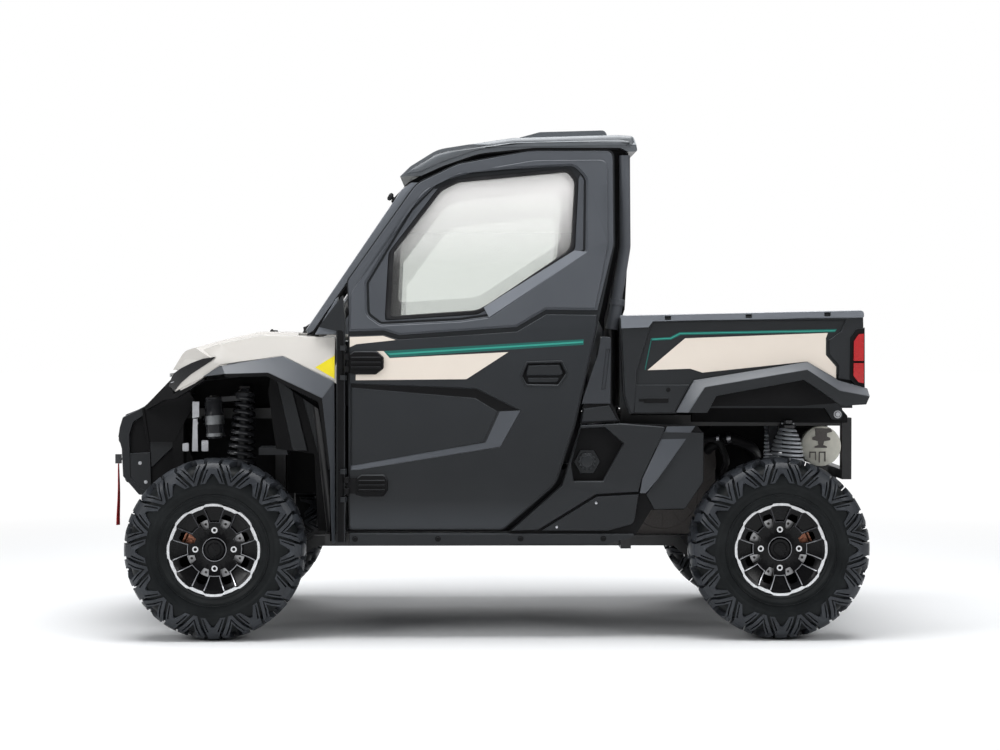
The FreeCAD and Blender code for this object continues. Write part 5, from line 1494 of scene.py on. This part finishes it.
bed_sand.panel([(676, 1096), (829, 1226), (1412, 1248), (1404, 1226), (1404, 1158), (1446, 1110),
                (1446, 1062), (1328, 1131), (900, 1086), (850, 1102)], 737.2, 730)
bed_sand.done()
for name, finish, lift, line in (
    ("bed_stripe_edge", deep_teal_print, 737.4,
     [(694, 1216), (772, 1220), (810, 1239), (1440, 1251), (1450, 1264), (806, 1251), (768, 1231),
      (694, 1227)]),
    ("bed_stripe", teal_print, 738.0,
     [(695, 1220), (771, 1224), (809, 1243.5), (1441, 1255), (1444, 1259), (807, 1247.5), (769, 1228),
      (695, 1224)]),
    ("bed_edge_line", deep_teal_print, 738.0, [(664, 1098), (690, 1226), (694, 1226), (668, 1098)]),
):
    stripe = pair(name, finish, 0.15, "bed")
    stripe.panel(line, lift, 730)
    stripe.done()
print("tie-down slots a side", len(TIE_SLOTS))

# %% Rear flares, lamps and tailgate
REAR_SPOTS = {
    "a": (792, 750, 924), "b": (864, 750, 1055), "c": (1328, 750, 1130), "d": (1455, 750, 1054),
    "e": (1572, 752, 1022), "A": (838, 790, 924), "B": (905, 790, 1028), "C": (1320, 790, 1099),
    "D": (1452, 790, 1014), "E": (1576, 786, 990), "p": (914, 790, 924), "q": (951, 790, 992),
    "r": (1308, 790, 1058), "s": (1462, 790, 952), "t": (1562, 784, 957),
}
# The flare's upper faces wear the paler slate and its walls the darker charcoal: lit and shaded copies of one
# black moulding.
rear_flare = pair("rear_flare_skins", slate, 2.0, "bed")
rear_flare.facets(REAR_SPOTS, ["abBA", "bcCB", "cdDC", "deED"], 40)
rear_flare.done()
rear_wall_piece = pair("rear_flare_walls", charcoal, 2.0, "bed")
rear_wall_piece.facets(REAR_SPOTS, ["ABqp", "BCrq", "CDsr", "DEts"], 44)
rear_wall_piece.done()
liner = pair("rear_arch_liners", shadow_plastic, 1.0, "bed")
liner.panel([(800, 940), (868, 1040), (1320, 1110), (1500, 1010), (1500, 965), (1300, 950), (960, 950)],
            735, 700)
liner.done()

lamp_frame = pair("tail_lamp_frames", shadow_plastic, 1.2, "bed")
lamp_frame.panel([(1500, 1232, 8), (1524, 1266, 8), (1563, 1270), (1564, 1022), (1524, 1030, 8),
                  (1498, 1060, 8)], 750, 735, slope=3)
lamp_frame.done(replaces=("tail_lamps",))
red = pair("tail_lamp_lenses", lamp_red, 1.2, "bed")
for outline in ([(1512, 1216, 8), (1533, 1246, 8), (1560, 1249), (1560, 1130), (1511, 1130)],
                [(1511, 1129), (1560, 1129), (1560, 1038), (1532, 1044, 8), (1510, 1072, 8)]):
    red.panel(outline, 758, 700, slope=4)
red.done()

gate = Piece("tailgate_skin", "tailgate", charcoal, 2.0)
GATE = [(-688, 962, 8), (688, 962, 8), (688, 1308, 14), (-688, 1308, 14)]
gate.plate(GATE, "x", 1530, 1550)
for low, high in ((-640, -236), (-196, 196), (236, 640)):
    gate.plate([(low, 1004, 10), (high, 1004, 10), (high, 1252, 10), (low, 1252, 10)], "x", 1546, 1559,
               [[(low + 18, 1022, 8), (high - 18, 1022, 8), (high - 18, 1234, 8), (low + 18, 1234, 8)]])
gate.plate([(-684, 1266, 6), (684, 1266, 6), (684, 1306, 10), (-684, 1306, 10)], "x", 1546, 1560)
gate.plate([(-96, 1268, 6), (96, 1268, 6), (80, 1296, 6), (-80, 1296, 6)], "x", 1556, 1563)
gate.rod((1544, -690, 966), (1544, 690, 966), 8)
gate.done(replaces=("tailgate",))
print("tailgate", GATE[1][0] - GATE[0][0], "mm wide")

# %% [markdown]
# ## Springs and dampers
# Coil-over dampers fill the arches. The front springs are black and swell towards the foot, with a
# gas reservoir in front, and the rear ones are grey. The coil tree winds the wire, and then the
# radius is drawn in with height, because these springs are not quite straight-sided.

# %% Coil-overs
def on_line(mesh, start, end, taper, bulge):
    """Stand a mesh made along Z on a line from start to end, narrowing with height."""
    start, end = Vector(start), Vector(end)
    length = (end - start).length
    turn = (end - start).to_track_quat("Z", "Y").to_matrix()
    for vert in mesh.vertices:
        share = min(1.0, max(0.0, vert.co.z / length))
        narrow = 1.0 + (taper - 1.0) * share ** bulge
        vert.co = start + turn @ Vector((vert.co.x * narrow, vert.co.y * narrow, vert.co.z))


def coil_over(name, foot, head, spring, radius, taper, wire, turns, bulge):
    """A damper with its eyes and a coil between two shares of its length."""
    foot, head = Vector(foot), Vector(head)
    low, high = foot.lerp(head, spring[0]), foot.lerp(head, spring[1])
    finish = spring_coat if name == "front" else grey_coil
    length = (high - low).length
    wound = coil.grow(finish, Radius=radius, Height=length, Turns=turns, Wire=wire)
    on_line(wound, low, high, taper, bulge)
    coils = pair(name + "_springs", finish, 0)
    coils.mesh.from_mesh(wound)
    coils.done()
    damper = pair(name + "_dampers", spring_coat, 0.8)
    way = (head - foot).normalized()
    damper.rod(foot, head, 11)
    damper.rod(low - way * 6, head - way * 26, 22)
    seat = radius + wire
    damper.turned([(-8, 0), (-8, seat), (0, seat + 2), (4, radius - 12), (4, 0)], low, way, 40)
    top = radius * taper
    cap = [(-6, 0), (-6, top - 8), (-2, top + wire), (10, top + wire), (16, top - 8), (30, 22), (30, 0)]
    damper.turned(cap, high, way, 40)
    for end in (foot, head):
        damper.rod(end - Vector((19, 0, 0)), end + Vector((19, 0, 0)), 16)
    damper.done(replaces=("shocks",) if name == "front" else ())
    pins = pair(name + "_damper_bolts", zinc, 0.5)
    for end in (foot, head):
        pins.rod(end - Vector((27, 0, 0)), end + Vector((27, 0, 0)), 8, 12)
    pins.done()
    print(name, "spring length", round(length), "mm, faces", len(wound.polygons))


coil_over("front", (-1017, -430, 520), (-993, -402, 1000), (0.36, 0.965), 57, 0.66, 9.4, 10, 1)
coil_over("rear", (1283, -430, 520), (1291, -435, 866), (0.36, 0.955), 68, 0.42, 5.6, 12, 3)

# %% Gas reservoirs
reservoir = pair("gas_reservoirs", spring_coat, 1.0)
can_foot, can_head = Vector((-1112, -452, 806)), Vector((-1122, -446, 984))
can_way = can_head - can_foot
reservoir.turned([(0, 0), (0, 30), (8, 38), (150, 38), (158, 34), (172, 34), (180, 20), (180, 0)], can_foot,
                 can_way, 40)
reservoir.bar((-1110, -440, 968), (-1010, -410, 975), 26, 22)
reservoir.bar((-1118, -440, 850), (-1180, -300, 880), 20, 30)
reservoir.done()
band = pair("reservoir_bands", cast_alloy, 0.6)
for low, high, radius in ((58, 96, 39.5), (8, 22, 39)):
    band.turned([(low, 30), (low, radius), (high, radius), (high, 30)], can_foot, can_way, 40)
band.done()
print("reservoir", round(can_way.length), "mm tall")

# %% [markdown]
# ## Wheel wells, gearbox and exhaust
# Dark liners with ribs close the wheel wells towards the cab. Behind it the machine shows its gearbox,
# hoses and intake box as a dark jumble, and the exhaust ends in a drum with a pale heat shield.
# The mass stays plain, while the shield gets its embossed brackets.

# %% Liners
liners = pair("well_liners", shadow_plastic, 1.5)
liners.panel([(-866, 1092), (-880, 1004), (-848, 770), (-690, 748), (-676, 430), (-604, 430), (-604, 1040),
              (-700, 1088)], 596, 588)
liners.done()
well_ribs = pair("well_ribs", charcoal, 1.2)
well_ribs.panel([(-846, 1060, 6), (-790, 1060, 6), (-716, 760, 6), (-780, 760, 6)], 604, 594, slope=3)
well_ribs.panel([(-760, 1060, 6), (-704, 1050, 6), (-632, 700, 6), (-664, 700, 6), (-676, 752, 6)],
                604, 594, slope=3)
well_ribs.panel([(-922, 776, 6), (-806, 776, 6), (-798, 750), (-798, 742), (-922, 742)], 590, 470, slope=2)
well_ribs.done()

# Near-black walls deep in the front wells are painted shade, where the wells are dark.
wells = pair("front_well_walls", shadow_plastic, 1.0)
wells.panel([(-1262, 990), (-1262, 780, 20), (-1180, 560, 20), (-690, 560), (-640, 640), (-640, 1090),
             (-900, 1140), (-1120, 1128)], 229, 224)
wells.panel([(-1306, 1010), (-1250, 1010), (-1250, 600), (-1288, 600)], 424, 416)
wells.done()
brackets = pair("damper_brackets", zinc, 0.8)
brackets.panel([(-1208, 961), (-1178, 961), (-1178, 896), (-1208, 890)], 470, 462, slope=1)
brackets.panel([(-1206, 890), (-1186, 890), (-1184, 752), (-1210, 752)], 468, 460, slope=1)
brackets.panel([(-1170, 800, 6), (-1140, 800, 6), (-1140, 752, 6), (-1170, 752, 6)], 474, 460, slope=1)
brackets.panel([(-1250, 786, 6), (-1222, 790, 6), (-1222, 752, 6), (-1250, 752, 6)], 470, 462, slope=1)
brackets.bolt((-1192, -470, 870), (0, -1, 0), 6, 5)
brackets.done()

# %% Gearbox, intake and hoses
gearbox = Piece("gearbox", "chassis", casting, 3.0)
gearbox.plate([(644, 386, 10), (1006, 386, 10), (1006, 776, 14), (644, 776, 14)], "y", -250, 250)
for y, way in ((-250, -1), (250, 1)):
    sunk, out = y - way * 10, (0, way, 0)
    gearbox.turned([(0, 0), (0, 150), (6, 154), (14, 150), (20, 60), (20, 0)], (780, sunk, 560), out, 56)
    gearbox.turned([(0, 0), (0, 92), (12, 90), (18, 40), (18, 0)], (920, sunk, 690), out, 48)
gearbox.done(replaces=("engine_block",))
fins = pair("gearbox_ribs", casting, 1.0)
for step in range(12):
    angle = math.radians(30 * step)
    inner = (780 + 62 * math.sin(angle), -258, 560 + 62 * math.cos(angle))
    outer = (780 + 138 * math.sin(angle), -255, 560 + 138 * math.cos(angle))
    fins.bar(inner, outer, 5, 5)
fins.done()
intake = Piece("intake_box", "chassis", shadow_plastic, 4.0)
intake.plate([(930, 640, 16), (1215, 600, 16), (1225, 852, 24), (1020, 862, 24), (930, 800, 20)],
             "y", -200, 200)
intake.done()
hoses = pair("intake_hoses", seal_rubber, 0)
hoses.pipe([(960, -196, 700), (980, -260, 760), (1060, -300, 800), (1160, -290, 760), (1190, -196, 720)],
           22, 60)
hoses.pipe([(900, -250, 740), (930, -300, 790), (1010, -330, 800), (1050, -320, 700), (1040, -200, 640)],
           14, 50)
hoses.done()
clamps = pair("hose_clamps", zinc, 0.4)
clamps.rod((1052, -297, 797), (1068, -301, 801), 24, 28)
clamps.rod((1002, -328, 800), (1014, -330, 800), 16, 24)
clamps.done()
well_panel = pair("rear_frame_covers", shadow_plastic, 2.0)
well_panel.panel([(884, 944), (1478, 944, 20), (1522, 926, 12), (1546, 898, 8), (1546, 868), (884, 872)],
                 430, 418, slope=2)
well_panel.done()
pivots = pair("bed_pivot_bolts", zinc, 0.6)
pivots.bolt((1500, -443, 905), (0, -1, 0), 11, 8)
pivots.done()

# %% Exhaust drum and its shield
drum = Piece("exhaust_drum", "chassis", casting, 2.0)
drum.turned([(0, 0), (0, 70), (10, 84), (690, 84), (700, 70), (700, 0)], (1432, -350, 771), (0, 1, 0), 64)
for start, way in ((-430, 1), (430, -1)):
    drum.turned([(0, 0), (0, 60), (84, 66), (84, 0)], (1432, start, 771), (0, way, 0), 40)
drum.done(replaces=("muffler",))
DISH = [(0, 0), (0, 74), (6, 84), (26, 86), (26, 82), (14, 0)]
dishes = Piece("exhaust_shield", "chassis", shield, 1.2)
for start, way in ((-441, 1), (441, -1)):
    dishes.turned(DISH, (1432, start, 771), (0, way, 0), 64)
dishes.done()
EMBOSS = [
    [(1404, 846), (1472, 846), (1478, 832), (1456, 826), (1456, 812), (1470, 806), (1470, 796), (1444, 792),
     (1440, 776), (1456, 770), (1456, 764), (1404, 764), (1404, 770), (1420, 776), (1418, 792), (1394, 798),
     (1394, 808), (1408, 814), (1408, 828)],
    [(1382, 748), (1410, 748), (1410, 712), (1406, 712), (1406, 743), (1386, 743), (1386, 722), (1382, 722)],
    [(1422, 748), (1450, 748), (1450, 706), (1446, 706), (1446, 743), (1426, 743), (1426, 702), (1422, 702)],
]
stamped = pair("shield_stampings", casting, 0.6)
for outline in EMBOSS:
    stamped.panel(outline, 444, 436)
stamped.done()
print("stampings", len(EMBOSS))

# %% Screens behind the rear dampers
screen = pair("shock_screens", mid_slate, 1.0)
screen.panel([(1226, 862), (1270, 862), (1264, 735), (1234, 735)], 300, 292)
screen.done()

# %% [markdown]
# ## Winch and strap
# A red webbing strap hangs from the winch's hook, so that a gloved hand can pull it. Webbing is a
# flat weave about an inch wide. It is a thin sheet here, with the weave in its finish.

# %% Webbing and hook
webbing = Finish("red_webbing", "red_webbing")
threads = webbing.node("ShaderNodeTexWave", Vector=webbing.place, Scale=260.0, Distortion=0.4)
weave = Flow(webbing, threads.outputs["Fac"])
webbing.set(Base_Color=webbing.mix(weave, (0.42, 0.012, 0.016), (0.62, 0.03, 0.03)),
            Roughness=weave * 0.2 + 0.6)
webbing.set(Normal=webbing.bumps(weave, 0.4, 0.0006))
ribbon = bmesh.new()
rows = []
STRAP_ROWS = 28
for step in range(STRAP_ROWS):
    share = step / (STRAP_ROWS - 1)
    sway = 3.0 * math.sin(share * 5.0) * share
    twist = 0.5 * share
    across = Vector((math.sin(twist), math.cos(twist), 0)) * 12.5
    middle = Vector((-1586 + sway, 0, 675.0 - 269.5 * share))
    rows.append([ribbon.verts.new((middle + across * side) * MM) for side in (-1, 0, 1)])
for above, below in zip(rows, rows[1:]):
    for index in range(2):
        ribbon.faces.new((above[index], above[index + 1], below[index + 1], below[index]))
strap_mesh = bpy.data.meshes.new("hook_strap_webbing")
bmesh.ops.recalc_face_normals(ribbon, faces=ribbon.faces[:])
ribbon.to_mesh(strap_mesh)
strap = placed("hook_strap_webbing", strap_mesh)
strap.data.materials.append(webbing.material)
thickness = strap.modifiers.new("thickness", "SOLIDIFY")
thickness.thickness = 0.0022
thickness.offset = 0.0
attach(strap, "chassis")
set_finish(strap, "red_webbing")
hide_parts("hook_strap")
wear_finish(spring_coat, "winch")
print("strap faces", len(strap_mesh.polygons))

# %% [markdown]
# ## Front bumper plates
# The tube bumper is hidden from the side by folded plates: an outer frame that follows the nose
# down to the skid plate, and two panels inside it. They cover the tube ends and the winch.

# %% Plates beside the bumper
plates = pair("bumper_frame_plates", charcoal, 1.6)
plates.panel([(-1522, 850, 6), (-1509, 893, 10), (-1419, 938), (-1312, 1026, 6), (-1268, 1006, 6),
              (-1404, 908), (-1462, 872, 8), (-1478, 820), (-1474, 640), (-1430, 592), (-1392, 584),
              (-1402, 562), (-1442, 566, 8), (-1509, 644, 8), (-1514, 760), (-1528, 812)],
             404, 392, slope=3)
plates.panel([(-1484, 740, 4), (-1392, 746, 4), (-1388, 590), (-1432, 574), (-1480, 640)],
             400, 391, slope=2)
plates.panel([(-1396, 842, 4), (-1262, 892, 4), (-1262, 800), (-1340, 726), (-1390, 676, 6)],
             398, 391, slope=2)
plates.done()
inner_plates = pair("bumper_inner_plates", shadow_plastic, 1.0)
inner_plates.panel([(-1490, 876), (-1416, 912), (-1300, 1008), (-1250, 1000), (-1250, 740), (-1300, 640),
                    (-1392, 592), (-1440, 590), (-1484, 650)], 390.5, 386)
inner_plates.done()
eyelets = pair("bumper_bolts", zinc, 0.4)
for x, z in ((-1436, 700), (-1412, 620), (-1300, 838)):
    eyelets.bolt((x, -400, z), (0, -1, 0), 5, 4)
eyelets.done()
lip = Piece("nose_lip", "chassis", shadow_plastic, 1.6)
lip.plate([(-1402, 786), (-1424, 930), (-1414, 938), (-1392, 790)], "y", -430, 430)
for z in (822, 858, 894):
    x = -1412 - (z - 822) * 0.14
    lip.bar((x, -400, z), (x, 400, z), 8, 10)
lip.done()

# %% [markdown]
# ## Small things at the windscreen's foot
# A washer jet stands on the hood, and the wiper's pivot and arm lie on the cowl in front of the
# glass. They are small turned and bent shapes, so each takes a line or two.

# %% Washer jet and wiper
jet = Piece("washer_jet", "hood", seal_rubber, 0.6)
jet.turned([(0, 0), (0, 9), (4, 9), (10, 5), (15, 4), (15, 0)], (-892, -250, 1249), (0, 0, 1), 20)
jet.bar((-900, -250, 1257), (-868, -250, 1256), 8, 6)
jet.done()
wiper = Piece("wiper", "chassis", seal_rubber, 0.6)
wiper.turned([(0, 0), (0, 22), (8, 22), (16, 14), (30, 12), (30, 0)], (-742, -210, 1247), (-0.3, 0, 0.95), 28)
wiper.pipe([(-748, -210, 1272), (-742, -150, 1280), (-722, 160, 1296)], 5, 30, 12)
wiper.bar((-716, -60, 1296), (-716, 330, 1300), 7, 12)
wiper.done()

# %% [markdown]
# ## Seats
# Each seat is foam under a stitched vinyl cover. The cover is cut a little small, and the foam
# pushes it out between its seams. Cloth with air pressure gives that fullness: a closed form is
# remeshed evenly, blown up for a few frames, and held to a few millimetres. The sewn channels are
# pressed in afterwards, and the vinyl's grain is in the finish.

# %% Vinyl
vinyl = Finish("seat_vinyl", "seat_cover")
creases = vinyl.noise(420.0, 4.0)
broad = vinyl.noise(6.0, 3.0)
vinyl.set(Base_Color=vinyl.mix(broad, (0.022, 0.023, 0.025), (0.032, 0.033, 0.036)),
          Roughness=creases * 0.16 + 0.42)
vinyl.set(Specular_IOR_Level=0.35, Normal=vinyl.bumps(creases, 0.3, 0.0006))
print("nodes in the vinyl", len(vinyl.tree.nodes))

# %% Foam under a cover
VOXEL = 0.011
CLOTH_FRAMES = 20


def filled(build, cap):
    """A closed form in millimetres, remeshed and blown up like a filled cover, in metres.
    No corner moves more than the cap, in millimetres."""
    form = Piece("form", "chassis", vinyl)
    build(form)
    bmesh.ops.scale(form.mesh, vec=(MM, MM, MM), verts=form.mesh.verts[:])
    mesh = bpy.data.meshes.new("form")
    form.mesh.to_mesh(mesh)
    form.mesh.free()
    cover = placed("cover", mesh)
    even = cover.modifiers.new("even", "REMESH")
    even.mode = "VOXEL"
    even.voxel_size = VOXEL
    bpy.context.view_layer.update()
    graph = bpy.context.evaluated_depsgraph_get()
    plain = bpy.data.meshes.new_from_object(cover.evaluated_get(graph))
    cover.modifiers.clear()
    cover.data = plain
    cloth = cover.modifiers.new("cover", "CLOTH")
    cloth.settings.quality = 6
    cloth.settings.use_pressure = True
    cloth.settings.uniform_pressure_force = 4.0
    cloth.settings.effector_weights.gravity = 0.0
    cloth.point_cache.frame_start = 1
    cloth.point_cache.frame_end = CLOTH_FRAMES
    for step in range(1, CLOTH_FRAMES + 1):
        bpy.context.scene.frame_set(step)
    seen = cover.evaluated_get(bpy.context.evaluated_depsgraph_get())
    blown = [vert.co.copy() for vert in seen.to_mesh().vertices]
    seen.to_mesh_clear()
    cover.modifiers.clear()
    moves = []
    for vert, now in zip(plain.vertices, blown):
        move = now - vert.co
        if move.length > cap * MM:
            move = move.normalized() * cap * MM
        vert.co = vert.co + move
        moves.append(move.length)
    bpy.context.scene.frame_set(1)
    print("cover moved", round(max(moves) * 1000, 1), "mm at most")
    bpy.data.objects.remove(cover)
    return plain


SEAT_OUT = 0.330
CHANNEL_DEPTH = 0.006


def seat_piece(name, plain, side, channels, place):
    """One cushion on its side of the cab, with its sewn channels pressed in."""
    mesh = plain.copy()
    for vert in mesh.vertices:
        across = vert.co.y * 1000
        along = place(vert.co)
        for where, half, low, high in channels:
            if low < along < high:
                near = max(0.0, 1.0 - abs(abs(across) - where) / half)
                vert.co += vert.normal * (-CHANNEL_DEPTH * near * near * (3 - 2 * near))
        vert.co.y += side * SEAT_OUT
    mesh.materials.clear()
    mesh.materials.append(vinyl.material)
    mesh.polygons.foreach_set("use_smooth", [True] * len(mesh.polygons))
    made = placed(name, mesh)
    soften = made.modifiers.new("soften", "SUBSURF")
    soften.levels = soften.render_levels = 1
    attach(made, "chassis")
    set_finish(made, "seat_cover")
    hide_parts("seats")


def base_form(form):
    """The seat cushion seen from the side."""
    form.panel([(-8, 690, 18), (300, 690, 18), (312, 822, 40), (240, 816, 60), (40, 800, 60), (-6, 786, 45)],
               225, -225, cuts_z=[720, 750, 780], cuts_x=[40, 90, 140, 190, 240, 290])


def back_form(form):
    """The backrest seen from the side."""
    form.panel([(320, 700, 20), (390, 700, 20), (452, 1276, 24), (402, 1292, 40), (372, 1180, 80),
                (326, 860, 60)], 218, -218, cuts_z=[760, 850, 940, 1030, 1120, 1210])


base_cover = filled(base_form, 7)
back_cover = filled(back_form, 6)
print("seat covers", len(base_cover.polygons), len(back_cover.polygons), "faces")
for side, tag in ((LEFT, "left"), (RIGHT, "right")):
    seat_piece("seat_cushion_" + tag, base_cover, side, [(150, 9, -40, 330), (52, 7, 20, 250)],
               lambda spot: spot.x * 1000)
    seat_piece("seat_back_" + tag, back_cover, side, [(146, 9, 700, 1300), (50, 7, 880, 1180)],
               lambda spot: spot.z * 1000)

# %% [markdown]
# ## Controls
# The steering wheel is a rubber hoop on three spokes, square to a column that slopes up to the
# driver. The dashboard gets a gauge pod, two round vents, a glove box door and a shift lever, all
# made from plates, bars, a pipe and turned shapes that sit on the plain moulding.

# %% Steering wheel
COLUMN = Vector((0.848, 0, 0.53)).normalized()
HUB = Vector((-250, -330, 1106))
hoop = Piece("steering_wheel_hoop", "steering_wheel", seal_rubber, 0)
ring = [(14.5 * math.sin(math.radians(18 * step)), 157 + 14.5 * math.cos(math.radians(18 * step)))
        for step in range(20)]
hoop.turned(ring, HUB, COLUMN, 72)
hoop.done(replaces=("steering_wheel",))
spokes = Piece("steering_wheel_spokes", "steering_wheel", charcoal, 2.0)
spokes.turned([(-16, 0), (-16, 30), (0, 42), (6, 40), (12, 26), (12, 0)], HUB, COLUMN, 40)
across = Vector((0, 1, 0))
upright = COLUMN.cross(across).normalized()
for angle in (90, 210, 330):
    way = across * math.cos(math.radians(angle)) + upright * math.sin(math.radians(angle))
    spokes.bar(HUB + way * 30 - COLUMN * 6, HUB + way * 150 - COLUMN * 2, 12, 30)
spokes.done()
print("column slopes", round(math.degrees(math.atan2(COLUMN.z, COLUMN.x))), "degrees")

# %% Dashboard
dash = Piece("dash_pod", "chassis", charcoal, 3.0)
dash.plate([(-470, 1150, 8), (-418, 1150, 8), (-412, 1212, 14), (-440, 1232, 20), (-500, 1222, 8)],
           "y", -452, -208)
dash.plate([(-440, 980, 8), (-424, 980, 8), (-424, 1120, 8), (-440, 1120, 8)], "y", 140, 520)
dash.plate([(-440, 1000, 8), (-422, 1000, 8), (-422, 1130, 8), (-440, 1130, 8)], "y", -110, 96)
dash.done()
vents = Piece("dash_vents", "chassis", slate, 1.0)
for y in (-520, 540):
    vents.turned([(0, 0), (0, 30), (8, 34), (14, 30), (10, 24), (6, 24), (6, 0)], (-432, y, 1150),
                 (1, 0, 0.1), 32)
vents.bar((-420, 180, 1100), (-420, 480, 1100), 6, 10)
vents.bar((-419, -100, 1016), (-419, 86, 1016), 5, 8)
vents.done()
gauge = Piece("dash_gauge", "chassis", lamp_glass, 0.6)
gauge.turned([(0, 0), (0, 40), (3, 40), (4, 37), (4, 0)], (-413, -330, 1184), (1, 0, 0.12), 40)
gauge.done()
lever = Piece("shift_lever", "chassis", seal_rubber, 1.0)
lever.pipe([(-428, -60, 1060), (-396, -60, 1066), (-372, -60, 1106)], 6, 16, 12)
lever.turned([(0, 0), (0, 11), (8, 17), (26, 19), (38, 12), (42, 0)], (-374, -60, 1102), (0.4, 0, 0.9), 28)
lever.done()

# %% [markdown]
# ## Sizes
# The dressed machine is measured here, and its reach is printed.

# %% Measure and finish
low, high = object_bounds()
print("dressed reach", [round(size, 3) for size in high - low])
